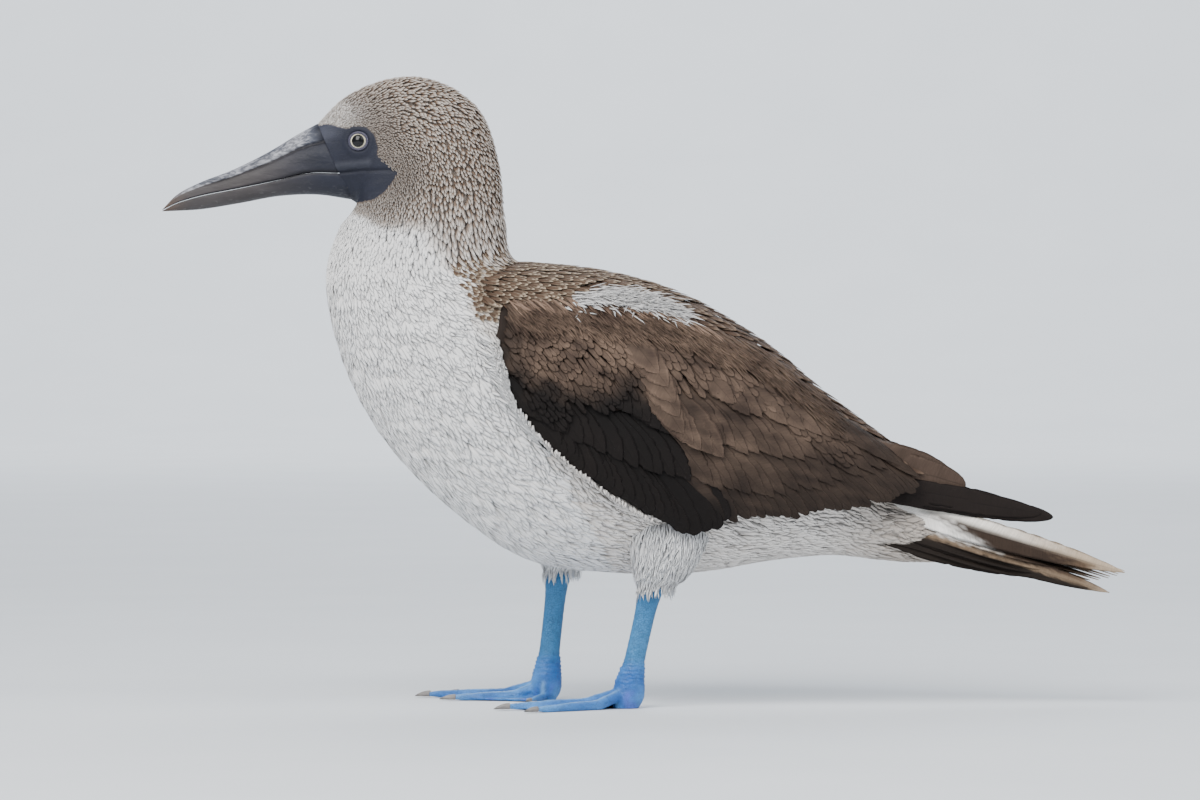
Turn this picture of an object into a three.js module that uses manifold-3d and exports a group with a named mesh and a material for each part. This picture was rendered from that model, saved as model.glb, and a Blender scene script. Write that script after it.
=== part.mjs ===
// A blue-footed booby standing at rest: a still, life-size model of one large female.
// Millimetres, +Z up. The bird faces -X, so its left side faces -Y.
// The origin is on the floor, under the middle of its box.
import * as THREE from "three";
import { mergeVertices } from "three/addons/utils/BufferGeometryUtils.js";
import Module from "manifold-3d";

const wasm = await Module();
wasm.setup();

// Driving dimensions
const GAP = 0.3; // between pieces that touch
const LEFT = -1; // the sign of Y on the bird's left side
const RIGHT = 1;

// The body from the face to the root of the tail, as sections across it. Each row holds a point
// of the back outline, the point across from it on the throat and belly outline, and the width
// there: [back x, back z, front x, front z, width].
const BODY = [
  [-211.5, 377, -190, 328, 33],
  [-195, 393, -186, 325, 38],
  [-173, 403.5, -186, 323, 45],
  [-150, 407, -188, 320, 51],
  [-125, 400, -192, 316, 55],
  [-106, 384, -196, 312, 58],
  [-95, 353, -200, 303, 61],
  [-91, 318, -204, 291, 68],
  [-86, 290, -206, 272, 80],
  [-62, 283, -202, 246, 100],
  [-24, 280, -190, 210, 120],
  [12, 269, -166, 169, 131],
  [46, 249, -126, 128, 132],
  [80, 221, -76, 94.5, 122],
  [108, 189, -19, 85.5, 106],
  [134, 161, 36, 86, 84],
  [153, 145, 86, 94, 60],
  [166, 134, 124, 97, 44],
];
const SQUARENESS = 2.2; // of the sections: 2 is an ellipse
const NECK_START = 5.4; // the row where the head ends
const TORSO_START = 8.6; // the row where the neck ends
const BODY_SIDES = 20; // of the head's and neck's sections
const TORSO_SIDES = 24;

// The outer face of the folded wings, in rows of the same kind, from the shoulder to the wing tips.
const WING_COVER = [
  [-84, 288, -200, 226, 112],
  [-28, 282, -162, 162, 141],
  [24, 267, -112, 112, 148],
  [76, 237, -48, 80, 142],
  [114, 206, 20, 74, 122],
  [150, 178, 80, 80, 96],
  [183, 154, 134, 88, 68],
  [222, 138, 192, 94, 42],
  [268, 127, 254, 100, 24],
];

// The folded wing's outline in the side view, as [x, z], each edge running from the shoulder to the rear.
const WING_TOP_EDGE = [
  [-93, 244],
  [-88, 262],
  [-45, 263],
  [10, 255],
  [72, 232],
  [132, 186],
  [177, 154],
];
const WING_LOW_EDGE = [
  [-97, 236],
  [-84, 196],
  [-42, 152],
  [32, 110],
  [92, 118],
  [140, 126],
  [177, 137],
];
// Degrees below the horizontal in which the wing's feathers point, from the shoulder to the rear
const WING_LIE = [50, 54, 58, 54, 46, 38, 31];

// The bill's sections from its root to its tip:
// [top x, top z, mouth x, mouth z, bottom x, bottom z, width]
const BILL = [
  [-211.9, 377, -199, 345, -190.4, 328, 33],
  [-224, 370.5, -217, 345, -212, 331, 27],
  [-243, 359, -239, 340, -237, 330, 21],
  [-266, 347.5, -263, 335, -262, 325.5, 16.5],
  [-289, 338.5, -288, 330, -287, 321.5, 12.5],
  [-303, 331, -303, 325.5, -303, 320.5, 8.5],
  [-312.5, 321.5, -312.5, 320.8, -312.5, 320.2, 1.2],
];
// Half sections of the two mandibles from the mouth line outwards:
// [share of the half width, share of the height]
const UPPER_HALF = [
  [1, 0],
  [0.98, 0.34],
  [0.8, 0.58],
  [0.68, 0.62],
  [0.64, 0.78],
  [0.36, 0.95],
];
const LOWER_HALF = [
  [1, 0],
  [0.92, 0.5],
  [0.55, 0.92],
];
const MOUTH_GAP = 0.5;

const EYE = {
  x: -184.5,
  z: 365.5,
  ball: 7.4, // radius
  shows: 1.9, // how far the ball stands out of the head
  lid: 6.6, // radius of the lids' ring
  lidThickness: 1.3, // its own radius
  turn: 8, // degrees that the lids' ring faces forward
};
// The corner of the mouth: a groove over the bare cheek, from the bill backwards
const MOUTH_CORNER = { from: [-201, 345], to: [-160, 346], sag: 1.5, depth: 2, width: 1.8 };

const LEG = {
  spread: 40, // of each leg from the middle
  hipX: { [LEFT]: 6, [RIGHT]: -55 },
  ankleX: { [LEFT]: -9, [RIGHT]: -63 },
  featherEnd: { [LEFT]: 78, [RIGHT]: 85 }, // height where the feathers end and the bare leg starts
  turnOut: 16, // degrees of each foot
  ankle: 19, // height of the ankle
};
// The toes from the outer one inwards, each with its length, its degrees outwards from the foot's
// own line, and its thickness
const TOES = [
  { name: "outer", length: 76, angle: 24, thick: 7.6, claw: 9 },
  { name: "middle", length: 82, angle: 0, thick: 8.4, claw: 9 },
  { name: "inner", length: 62, angle: -25, thick: 7.6, claw: 9 },
  { name: "hind", length: 27, angle: -92, thick: 6, claw: 5.4 },
];
const TOE = {
  sides: 7,
  bend: 0.12, // share of its angle that a toe bends back towards its tip
  rise: 8, // of its root over the floor
  level: 0.35, // share of the way where it has come down
  sink: 0.5, // of its underside under the floor, which cuts it flat
  taper: 1.4, // of its height over its length
};
// Shares of the way along a toe, with its girth there as a share of its thickness
const TOE_GIRTHS = [
  [0, 1.1],
  [0.2, 1],
  [0.5, 0.9],
  [0.8, 0.78],
  [1, 0.6],
];
// The same along a claw
const CLAW_GIRTHS = [
  [0, 0.5],
  [0.4, 0.42],
  [0.8, 0.2],
  [1, 0.06],
];
// The webs between the toes, with the share of the length that each edge curves in
const WEB = { thickness: 1.5, clear: 0.2, notches: [0.09, 0.1, 0.12] };

// The feathered root of the tail, which takes up the body's last section
const TAIL_ROOT = [
  [166, 134, 124, 97, 44],
  [180, 129, 152, 94, 38],
  [194, 124, 178, 92.5, 30],
  [206, 119, 198, 93, 20],
  [214, 115.5, 211, 97, 10],
];
const TAIL = {
  pairs: 7,
  root: [152, 136], // of the ridge over the tail's feathers, [x, z]
  pitch: 17, // degrees of the ridge below the horizontal
  bow: 1.5, // of the ridge over a straight line
  start: 16, // of the feathers along the ridge
  length: 168, // to the tips of the middle pair
  outerShort: 0.2, // the outermost pair ends earlier by this share
  width: 22,
  spread: [3, 15], // of the innermost and outermost pair's middle lines from the ridge, at the root
  roofRadius: [22, 34], // of the arched feathers, at the root and at the tip
  layer: 1.55, // from one feather down to the next
};

const point = (x, y, z) => new THREE.Vector3(x, y, z);
const radians = THREE.MathUtils.degToRad;
const mix = THREE.MathUtils.lerp;
const { clamp, smoothstep } = THREE.MathUtils;

// A seeded random number from 0 to 1 at each call
function dice(seed) {
  let state = seed;
  return () => {
    state = (state * 1664525 + 1013904223) % 4294967296;
    return state / 4294967296;
  };
}

// The value at share t of a list of evenly spaced values
function along(values, t) {
  const place = clamp(t, 0, 1) * (values.length - 1);
  const i = Math.min(Math.floor(place), values.length - 2);
  return mix(values[i], values[i + 1], place - i);
}

// A smooth curve through points of the side view
function sideCurve(points) {
  return new THREE.CatmullRomCurve3(
    points.map(([x, z]) => point(x, 0, z)),
    false,
    "centripetal",
  );
}

function indexed(vertices, faces) {
  const geometry = new THREE.BufferGeometry().setFromPoints(vertices);
  geometry.setIndex(faces.flat());
  return geometry;
}

// A closed surface over rings of the same number of points, with a flat fan at each end
function loft(rings) {
  const count = rings[0].length;
  const vertices = rings.flat();
  const faces = [];
  for (let i = 0; i + 1 < rings.length; i++)
    for (let k = 0; k < count; k++) {
      const a = i * count + k;
      const b = i * count + ((k + 1) % count);
      faces.push([a, b, b + count], [a, b + count, a + count]);
    }
  for (const [i, turned] of [
    [0, true],
    [rings.length - 1, false],
  ]) {
    const middle = rings[i].reduce((sum, p) => sum.clone().add(p)).divideScalar(count);
    vertices.push(middle);
    for (let k = 0; k < count; k++) {
      const a = i * count + k;
      const b = i * count + ((k + 1) % count);
      faces.push(turned ? [b, a, vertices.length - 1] : [a, b, vertices.length - 1]);
    }
  }
  return indexed(vertices, faces);
}

// A closed sheet between two grids of points, split into triangles alike on both faces
function slab(upper, lower) {
  const rows = upper.length;
  const columns = upper[0].length;
  const vertices = [...upper.flat(), ...lower.flat()];
  const under = rows * columns;
  const faces = [];
  const at = (i, j) => i * columns + j;
  for (let i = 0; i + 1 < rows; i++)
    for (let j = 0; j + 1 < columns; j++) {
      const [a, b, c, d] = [at(i, j), at(i, j + 1), at(i + 1, j + 1), at(i + 1, j)];
      for (const [p, q, r] of [
        [a, b, c],
        [a, c, d],
      ])
        faces.push([p, q, r], [p + under, r + under, q + under]);
    }
  const rim = [];
  for (let j = 0; j + 1 < columns; j++) rim.push([at(0, j), at(0, j + 1)]);
  for (let i = 0; i + 1 < rows; i++) rim.push([at(i, columns - 1), at(i + 1, columns - 1)]);
  for (let j = columns - 1; j > 0; j--) rim.push([at(rows - 1, j), at(rows - 1, j - 1)]);
  for (let i = rows - 1; i > 0; i--) rim.push([at(i, 0), at(i - 1, 0)]);
  for (const [a, b] of rim) faces.push([b, a, a + under], [b, a + under, b + under]);
  return indexed(vertices, faces);
}

// A geometry as a solid, with its faces turned out
function solid(geometry) {
  const bare = geometry.clone();
  bare.deleteAttribute("normal");
  bare.deleteAttribute("uv");
  const merged = mergeVertices(bare, 1e-4);
  const at = merged.attributes.position;
  const triVerts = new Uint32Array(merged.index.array);
  const corner = (i) => point(at.getX(triVerts[i]), at.getY(triVerts[i]), at.getZ(triVerts[i]));
  let volume = 0;
  for (let i = 0; i < triVerts.length; i += 3) volume += corner(i).dot(corner(i + 1).cross(corner(i + 2)));
  if (volume < 0)
    for (let i = 0; i < triVerts.length; i += 3)
      [triVerts[i + 1], triVerts[i + 2]] = [triVerts[i + 2], triVerts[i + 1]];
  return new wasm.Manifold(new wasm.Mesh({ numProp: 3, vertProperties: at.array, triVerts }));
}

const join = (solids) => wasm.Manifold.union(solids);

// The largest closed surface of a solid, which leaves out loose scraps and sealed hollows
function largest(made) {
  return made.decompose().reduce((best, piece) => (piece.volume() > best.volume() ? piece : best));
}

function toGeometry(made) {
  const mesh = made.getMesh();
  const geometry = new THREE.BufferGeometry();
  geometry.setAttribute("position", new THREE.BufferAttribute(new Float32Array(mesh.vertProperties), 3));
  geometry.setIndex(new THREE.BufferAttribute(new Uint32Array(mesh.triVerts), 1));
  geometry.computeVertexNormals();
  return geometry;
}

// A rounded form given by sections across it
class Form {
  constructor(rows) {
    this.last = rows.length - 1;
    this.back = new THREE.CatmullRomCurve3(
      rows.map(([x, z, , , width]) => point(x, width / 2, z)),
      false,
      "centripetal",
    );
    this.front = sideCurve(rows.map(([, , x, z]) => [x, z]));
  }

  // The section at a row number, which may be a fraction
  section(row) {
    const back = this.back.getPoint(row / this.last);
    const front = this.front.getPoint(row / this.last);
    const halfWidth = back.y;
    back.y = 0;
    const middle = back.clone().add(front).divideScalar(2);
    return { middle, reach: back.sub(middle), halfWidth };
  }

  // The point at a turn round from the back of a section, grown outwards and moved along the body
  at(row, turn, grow = 0, shift = 0) {
    const { middle, reach, halfWidth } = this.section(row);
    const up = reach.clone().normalize();
    const forward = point(-up.z, 0, up.x);
    const power = 2 / SQUARENESS;
    const high = Math.sign(Math.cos(turn)) * Math.abs(Math.cos(turn)) ** power;
    const wide = Math.sign(Math.sin(turn)) * Math.abs(Math.sin(turn)) ** power;
    return middle
      .addScaledVector(up, high * (reach.length() + grow))
      .addScaledVector(forward, -shift)
      .setY(wide * (halfWidth + grow));
  }

  ring(row, count, grow, shift) {
    return Array.from({ length: count }, (_, k) => this.at(row, (2 * Math.PI * k) / count, grow, shift));
  }

  // How far out the surface is at a place in the side view, searched for from a row onwards
  side(x, z, fromRow = 0) {
    let low = fromRow;
    let high = this.last;
    for (let i = 0; i < 18; i++) {
      const row = (low + high) / 2;
      const { middle, reach } = this.section(row);
      const beyond = (x - middle.x) * reach.z - (z - middle.z) * reach.x > 0;
      if (beyond) low = row;
      else high = row;
    }
    const { middle, reach, halfWidth } = this.section((low + high) / 2);
    const share = ((x - middle.x) * reach.x + (z - middle.z) * reach.z) / reach.lengthSq();
    if (Math.abs(share) >= 1) return 0;
    return halfWidth * (1 - Math.abs(share) ** SQUARENESS) ** (1 / SQUARENESS);
  }
}

const body = new Form(BODY);
const wingCover = new Form(WING_COVER);

// The stretch of the body between two rows, grown outwards, and set back from each cut by half the gap
function bodyPiece(from, to, steps, count, grow = 0) {
  const inset = GAP / 2 - grow;
  const rings = [];
  for (let i = 0; i <= steps; i++) {
    const shift = i === 0 ? inset : i === steps ? -inset : 0;
    rings.push(body.ring(mix(from, to, i / steps), count, grow, shift));
  }
  return solid(loft(rings));
}

const model = new THREE.Group();
function addNode(name, made, color, roughness) {
  const material = new THREE.MeshStandardMaterial({ color, roughness, metalness: 0 });
  const mesh = new THREE.Mesh(toGeometry(made), material);
  mesh.name = name;
  model.add(mesh);
}

const COLOURS = {
  headFeather: 0x9b8a7a,
  breastFeather: 0xe6e1da,
  wingFeather: 0x4b3a30,
  tailFeather: 0xa79a88,
  bill: 0x4c4f5a,
  iris: 0xd8d3bd,
  footSkin: 0x4f8fc6,
  claw: 0x8f8a82,
};

// Head, with a socket and a raised lid ring for each eye and the line of the mouth
function lidRing(sign) {
  const ring = new THREE.TorusGeometry(EYE.lid, EYE.lidThickness, 4, 14);
  ring.rotateX(Math.PI / 2);
  ring.rotateZ(-sign * radians(EYE.turn));
  ring.translate(EYE.x, sign * body.side(EYE.x, EYE.z), EYE.z);
  return solid(ring);
}

function eyeBall(sign, grow = 0) {
  const ball = new THREE.SphereGeometry(EYE.ball + grow, 12, 8);
  ball.translate(EYE.x, sign * (body.side(EYE.x, EYE.z) + EYE.shows - EYE.ball), EYE.z);
  return solid(ball);
}

function mouthGroove(sign) {
  const { from, to, sag, depth, width } = MOUTH_CORNER;
  const steps = 4;
  const upper = [];
  const lower = [];
  for (let i = 0; i <= steps; i++) {
    const t = i / steps;
    const x = mix(from[0], to[0], t);
    const z = mix(from[1], to[1], t) - sag * Math.sin(Math.PI * t);
    const inside = sign * (body.side(x, z) - depth * mix(1, 0.2, t ** 3));
    const outside = sign * (body.side(x, z) + depth);
    upper.push([point(x, inside, z + 0.1 * width), point(x, outside, z + 0.5 * width)]);
    lower.push([point(x, inside, z - 0.1 * width), point(x, outside, z - 0.5 * width)]);
  }
  return solid(slab(upper, lower));
}

function makeHead() {
  const skull = bodyPiece(0, NECK_START, 14, BODY_SIDES);
  let head = join([skull, lidRing(LEFT), lidRing(RIGHT)]);
  for (const sign of [LEFT, RIGHT])
    head = head.subtract(eyeBall(sign, GAP)).subtract(mouthGroove(sign));
  return largest(head);
}

addNode("head", makeHead(), COLOURS.headFeather, 0.9);
addNode("eye_left", eyeBall(LEFT), COLOURS.iris, 0.1);
addNode("eye_right", eyeBall(RIGHT), COLOURS.iris, 0.1);
addNode("neck", bodyPiece(NECK_START, TORSO_START, 8, BODY_SIDES), COLOURS.headFeather, 0.9);

// Bill: two mandibles that meet along the mouth line
function mandible(half, isUpper) {
  const curve = (x, z, width) =>
    new THREE.CatmullRomCurve3(
      BILL.map((row) => point(row[x], width ? row[6] / 2 : 0, row[z])),
      false,
      "centripetal",
    );
  const mouth = curve(2, 3, true);
  const edge = isUpper ? curve(0, 1) : curve(4, 5);
  const steps = 13;
  const rings = [];
  for (let i = 0; i <= steps; i++) {
    const t = i / steps;
    const root = mouth.getPoint(t);
    const halfWidth = root.y * (isUpper ? 1 : 0.96);
    const reach = edge.getPoint(t).sub(root.setY(0));
    root.addScaledVector(reach.clone().normalize(), MOUTH_GAP / 2);
    const height = reach.length() - MOUTH_GAP / 2;
    reach.setLength(Math.max(height, 0.35));
    const place = ([wide, high], sign) =>
      root.clone().addScaledVector(reach, high).setY(sign * wide * halfWidth);
    rings.push([
      ...half.map((p) => place(p, LEFT)),
      place([0, 1], LEFT),
      ...half.map((p) => place(p, RIGHT)).reverse(),
    ]);
  }
  return solid(loft(rings));
}

addNode("bill_upper", mandible(UPPER_HALF, true), COLOURS.bill, 0.5);
addNode("bill_lower", mandible(LOWER_HALF, false), COLOURS.bill, 0.5);

// Torso, and the room that the pieces on it leave free
const torsoPiece = (grow) => bodyPiece(TORSO_START, body.last, 18, TORSO_SIDES, grow);
const torsoRoom = torsoPiece(0.5);
addNode("torso", torsoPiece(0), COLOURS.breastFeather, 0.95);

// Outlines of feathers, as the share of the half width at shares of the way from root to tip
const SHORT_FEATHER = [
  [0, 0.6],
  [0.72, 1],
  [1, 0.3],
];
const FLIGHT_FEATHER = [
  [0, 0.6],
  [0.55, 1],
  [0.88, 0.78],
  [1, 0.2],
];
const TAIL_FEATHER = [
  [0, 0.7],
  [0.55, 1],
  [0.88, 0.6],
  [1, 0.12],
];
const VANE_THICKNESS = 1;

// A feather's vane: a thin blade, thickest along its middle, over places that a function gives
// for a share of the way from root to tip, a share of the half width, and a depth under the outer face.
function vane(outline, place) {
  const face = (depth) =>
    outline.map(([s, breadth]) =>
      [-1, 0, 1].map((q) => place(s, q * breadth, depth * (q === 0 ? 1 : 0.7))),
    );
  return solid(slab(face(0), face(VANE_THICKNESS)));
}

const wingTop = sideCurve(WING_TOP_EDGE);
const wingLow = sideCurve(WING_LOW_EDGE);

// A place on the wing: u runs from the shoulder to the rear, v from the top edge to the low edge
function wingPlace(u, v) {
  const p = wingTop.getPoint(u).lerp(wingLow.getPoint(u), v);
  return [p.x, p.z];
}

// The wing's front edge, as x at a height
function frontEdge(z) {
  const rows = WING_LOW_EDGE.slice(0, 4);
  const i = clamp(rows.findIndex((row) => row[1] <= z) - 1, 0, rows.length - 2);
  const [[x0, z0], [x1, z1]] = [rows[i], rows[i + 1]];
  return z < z1 ? -Infinity : mix(x0, x1, clamp((z - z0) / (z1 - z0), 0, 1));
}

// Tiers of the folded wing from the innermost out: feather tips run in a row between two places of the wing.
// spacing is between the middle lines of neighbours, and lift is how far the tips stand off the wing's face.
const SECONDARIES = { count: 9, from: [0.46, 1], to: [1, 0.97], length: [54, 80], width: [22, 19] };
const LOBE = { count: 6, from: [0.17, 0.95], to: [0.5, 1], length: [38, 58], width: [23, 27] };
const GREAT = { count: 6, from: [0.5, 0.7], to: [0.97, 0.5], length: [48, 60], width: [25, 21] };
const MIDDLE = { count: 5, from: [0.2, 0.6], to: [0.78, 0.38], length: [38, 46], width: [28, 26] };
const WING_TIERS = [
  { ...SECONDARIES, outline: FLIGHT_FEATHER, spacing: 12, lift: 0 },
  { ...LOBE, outline: SHORT_FEATHER, spacing: 13, lift: 0.8 },
  { ...GREAT, outline: SHORT_FEATHER, spacing: 14, lift: 2 },
  { ...MIDDLE, outline: SHORT_FEATHER, spacing: 16, lift: 2.2 },
];
const ROOT_SUNK = 1.6; // of each feather's root under the wing's face
const SHINGLE = 1.45; // how far a feather's front edge is raised over its neighbour's
// Two files of feathers that close the back beside its middle line, in rows of the wing's face:
// turn is in degrees from the middle line, and reach is a feather's length in rows
const BACK_FILES = [
  { count: 4, turn: 34, first: 3, last: 5.8, reach: 1.35, width: 26, lift: 1.2 },
  { count: 5, turn: 12, first: 2.9, last: 6, reach: 1.2, width: 24, lift: 2.6 },
];
// The feathers of the hand, each [root x, root z, tip x, tip z, width]: two long, two short above
const HAND_FEATHERS = [
  [122, 144, 266, 121.5, 14],
  [120, 147, 250, 127, 14],
  [130, 168, 209, 142, 20],
  [124, 172, 199, 148, 20],
];
const HAND_SPREAD = { root: 24, tip: 6, layer: 1.6 }; // their distance from the middle
// The arm and its small feathers are a pad at the side and a thin one over the back
const SIDE_PAD = { u: 0.86, v: 0.88, edge: 1.4, most: 12 };
const BACK_PAD = { rows: [2.4, 6], turns: [0.4, 44], thickness: 2.1 };
const PAD_SUNK = 0.3;

// Points of a net of rows and columns, each from its shares of the way down and along
function net(rows, columns, make) {
  return Array.from({ length: rows + 1 }, (_, i) =>
    Array.from({ length: columns + 1 }, (_, j) => make(i / rows, j / columns)),
  );
}

function sidePad(sign) {
  const face = (inside) =>
    net(4, 9, (i, j) => {
      const [x, z] = wingPlace(j * SIDE_PAD.u, i * SIDE_PAD.v);
      const room = wingCover.side(x, z) - body.side(x, z, NECK_START) - 1;
      const onEdge = i % 1 === 0 || j === 0;
      const thickness = onEdge ? SIDE_PAD.edge : clamp(room, SIDE_PAD.edge, SIDE_PAD.most);
      const out = wingCover.side(x, z) - (inside ? thickness : PAD_SUNK);
      return point(x, sign * Math.max(out, 1), z);
    });
  return solid(slab(face(false), face(true)));
}

// Keeps a point of one wing on its own side of the middle
function ownSide(p, sign) {
  return p.setY(sign * Math.max(sign * p.y, GAP));
}

function backPad(sign) {
  const { rows, turns, thickness } = BACK_PAD;
  const face = (deep) =>
    net(3, 6, (i, j) => {
      const turn = sign * radians(mix(turns[0], turns[1], i));
      return ownSide(wingCover.at(mix(rows[0], rows[1], j), turn, -deep), sign);
    });
  return solid(slab(face(PAD_SUNK), face(PAD_SUNK + thickness)));
}

// A feather over the side view from a root to a tip, standing off the middle as told and tilted
// as a shingle is
function sideFeather(sign, outline, root, tip, width, spacing, outwards) {
  const run = point(tip[0] - root[0], 0, tip[1] - root[1]);
  const across = point(-run.z, 0, run.x).normalize();
  return vane(outline, (s, q, deep) => {
    const aside = (q * width) / 2;
    const p = point(root[0], 0, root[1]).addScaledVector(run, s).addScaledVector(across, aside);
    p.x = Math.max(p.x, frontEdge(p.z));
    const out = outwards(p, s) - (SHINGLE * aside) / spacing;
    return p.setY(sign * (Math.max(out, 2) - deep));
  });
}

// A feather over the back, along the rows of the wing's face
function backFeather(sign, file, tipRow, turn) {
  const { halfWidth } = wingCover.section(tipRow - file.reach / 2);
  return vane(SHORT_FEATHER, (s, q, deep) => {
    const out = mix(-ROOT_SUNK, file.lift, smoothstep(s, 0, 0.7)) - deep;
    const round = turn + (q * file.width) / 2 / halfWidth;
    return ownSide(wingCover.at(tipRow - file.reach * (1 - s), sign * round, out), sign);
  });
}

function makeWing(sign) {
  const random = dice(sign === LEFT ? 11 : 29);
  const vary = (share) => 1 + share * (2 * random() - 1);
  const pieces = [sidePad(sign), backPad(sign)];

  for (const { outline, count, from, to, length, width, spacing, lift } of WING_TIERS)
    for (let k = 0; k < count; k++) {
      const t = k / (count - 1);
      const u = mix(from[0], to[0], t);
      const tip = wingPlace(u, mix(from[1], to[1], t));
      const lie = radians(along(WING_LIE, u) * vary(0.03));
      const reach = mix(length[0], length[1], t) * vary(0.05);
      const root = [tip[0] - reach * Math.cos(lie), tip[1] + reach * Math.sin(lie)];
      const wide = mix(width[0], width[1], t) * vary(0.05);
      const outwards = (p, s) => wingCover.side(p.x, p.z) + mix(-ROOT_SUNK, lift, smoothstep(s, 0, 0.7));
      pieces.push(sideFeather(sign, outline, root, tip, wide, spacing, outwards));
    }

  for (const file of BACK_FILES)
    for (let k = 0; k < file.count; k++) {
      const tipRow = mix(file.first, file.last, k / (file.count - 1));
      pieces.push(backFeather(sign, file, tipRow, radians(file.turn * vary(0.05))));
    }

  HAND_FEATHERS.forEach(([rootX, rootZ, tipX, tipZ, width], k) => {
    const outwards = (p, s) => {
      const free = mix(HAND_SPREAD.root, HAND_SPREAD.tip, s) + HAND_SPREAD.layer * k;
      return mix(wingCover.side(p.x, p.z) - ROOT_SUNK, free, smoothstep(s, 0.1, 0.5));
    };
    pieces.push(sideFeather(sign, FLIGHT_FEATHER, [rootX, rootZ], [tipX, tipZ], width, width, outwards));
  });
  return largest(join(pieces).subtract(torsoRoom));
}

addNode("wing_left", makeWing(LEFT), COLOURS.wingFeather, 0.85);
addNode("wing_right", makeWing(RIGHT), COLOURS.wingFeather, 0.85);

// Tail: a short root that carries pairs of long arched feathers, stacked one under the other
function tailVane(order) {
  const sign = order % 2 ? RIGHT : LEFT;
  const t = Math.floor(order / 2) / (TAIL.pairs - 1);
  const length = TAIL.length * (1 - TAIL.outerShort * t ** 1.3);
  const pitch = radians(TAIL.pitch);
  return vane(TAIL_FEATHER, (s, q, thick) => {
    const far = mix(TAIL.start, length, s);
    const radius = mix(TAIL.roofRadius[0], TAIL.roofRadius[1], far / TAIL.length);
    const middle = sign * mix(TAIL.spread[0], TAIL.spread[1], t) * mix(1, 0.5, s);
    const turn = (middle + (q * TAIL.width) / 2) / radius;
    const raised = TAIL.bow * Math.sin((Math.PI * far) / TAIL.length);
    const drop = radius * (1 - Math.cos(turn)) + order * TAIL.layer + thick - raised;
    return point(
      TAIL.root[0] + far * Math.cos(pitch) - drop * Math.sin(pitch),
      radius * Math.sin(turn),
      TAIL.root[1] - far * Math.sin(pitch) - drop * Math.cos(pitch),
    );
  });
}

function makeTail() {
  const root = new Form(TAIL_ROOT);
  const steps = 5;
  const rings = [];
  for (let i = 0; i <= steps; i++)
    rings.push(root.ring((root.last * i) / steps, 18, 0, i === 0 ? GAP / 2 : 0));
  const pieces = [solid(loft(rings))];
  for (let order = 0; order < 2 * TAIL.pairs; order++) pieces.push(tailVane(order));
  return largest(join(pieces).subtract(torsoRoom));
}

addNode("tail", makeTail(), COLOURS.tailFeather, 0.85);

// Legs: a feathered thigh under the torso, then the bare leg down to the foot
function ellipseRing(centre, halfX, halfY, count) {
  return Array.from({ length: count }, (_, k) => {
    const turn = (2 * Math.PI * k) / count;
    return centre.clone().add(point(halfX * Math.cos(turn), halfY * Math.sin(turn), 0));
  });
}

// Sections of the thigh: [x from the hip, share of the spread, height over its end, half x, half y]
const THIGH_SECTIONS = [
  [12, 0.9, 50, 26, 14],
  [10, 0.97, 30, 25, 17],
  [7, 1, 13, 20, 16],
  [4, 1, 4, 15.5, 12.5],
  [2, 1, 0, 11.5, 9],
];
// Sections of the bare leg: [share of the way down, half x, half y]
const SHANK_SECTIONS = [
  [0, 8.6, 6.6],
  [0.16, 8, 6.1],
  [0.45, 6.7, 4.8],
  [0.72, 6.7, 4.8],
  [0.88, 8, 6],
  [1, 9.4, 7.4],
];
// Sections of the heel: [x, height, half x, half y], the last one at the ankle
const HEEL_SECTIONS = [
  [3, -1, 8, 7.5],
  [1.5, 6, 10.5, 9.4],
  [0.5, 13, 10.2, 8.6],
  [0, LEG.ankle, 9.4, 7.4],
];
const LEG_SIDES = 14;

function makeThigh(sign) {
  const rings = THIGH_SECTIONS.map(([x, share, high, halfX, halfY]) => {
    const centre = point(LEG.hipX[sign] + x, sign * LEG.spread * share, LEG.featherEnd[sign] + high);
    return ellipseRing(centre, halfX, halfY, LEG_SIDES);
  });
  return largest(solid(loft(rings)).subtract(torsoRoom));
}

function makeShank(sign) {
  const top = point(LEG.hipX[sign], sign * LEG.spread, LEG.featherEnd[sign] - GAP);
  const ankle = point(LEG.ankleX[sign], sign * LEG.spread, LEG.ankle + GAP);
  const rings = SHANK_SECTIONS.map(([t, halfX, halfY]) =>
    ellipseRing(top.clone().lerp(ankle, t), halfX, halfY, LEG_SIDES),
  );
  return solid(loft(rings));
}

// The foot in its own frame: the ankle over the origin, toes towards +X, outwards +Y
function toePoint(toe, share) {
  const angle = radians(toe.angle * (1 - TOE.bend * share));
  const rise = mix(TOE.rise, 0, Math.min(1, share / TOE.level));
  const height = rise + toe.thick / 2 - TOE.taper * share - TOE.sink;
  return point(share * toe.length * Math.cos(angle), share * toe.length * Math.sin(angle), height);
}

// An upright ring of points round a place, across a direction along the floor
function acrossRing(centre, degrees, radius, count) {
  const side = point(-Math.sin(radians(degrees)), Math.cos(radians(degrees)), 0);
  return Array.from({ length: count }, (_, k) => {
    const turn = (2 * Math.PI * k) / count;
    const p = centre.clone().addScaledVector(side, radius * Math.cos(turn));
    return p.setZ(p.z + radius * Math.sin(turn));
  });
}

function toeTube(toe) {
  const rings = TOE_GIRTHS.map(([share, girth]) =>
    acrossRing(toePoint(toe, share), toe.angle, (toe.thick / 2) * girth, TOE.sides),
  );
  return solid(loft(rings));
}

function web(toeA, toeB, notch) {
  const face = (deep) =>
    net(3, 4, (i, j) => {
      const curve = 4 * j * (1 - j);
      const share = mix(0.05, 0.95 - notch * curve, i);
      const p = toePoint(toeA, share).lerp(toePoint(toeB, share), j);
      const slack = 1 - 0.22 * curve;
      return p.setZ(Math.max(p.z * slack, WEB.thickness + WEB.clear) - deep);
    });
  return solid(slab(face(0), face(WEB.thickness)));
}

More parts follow.
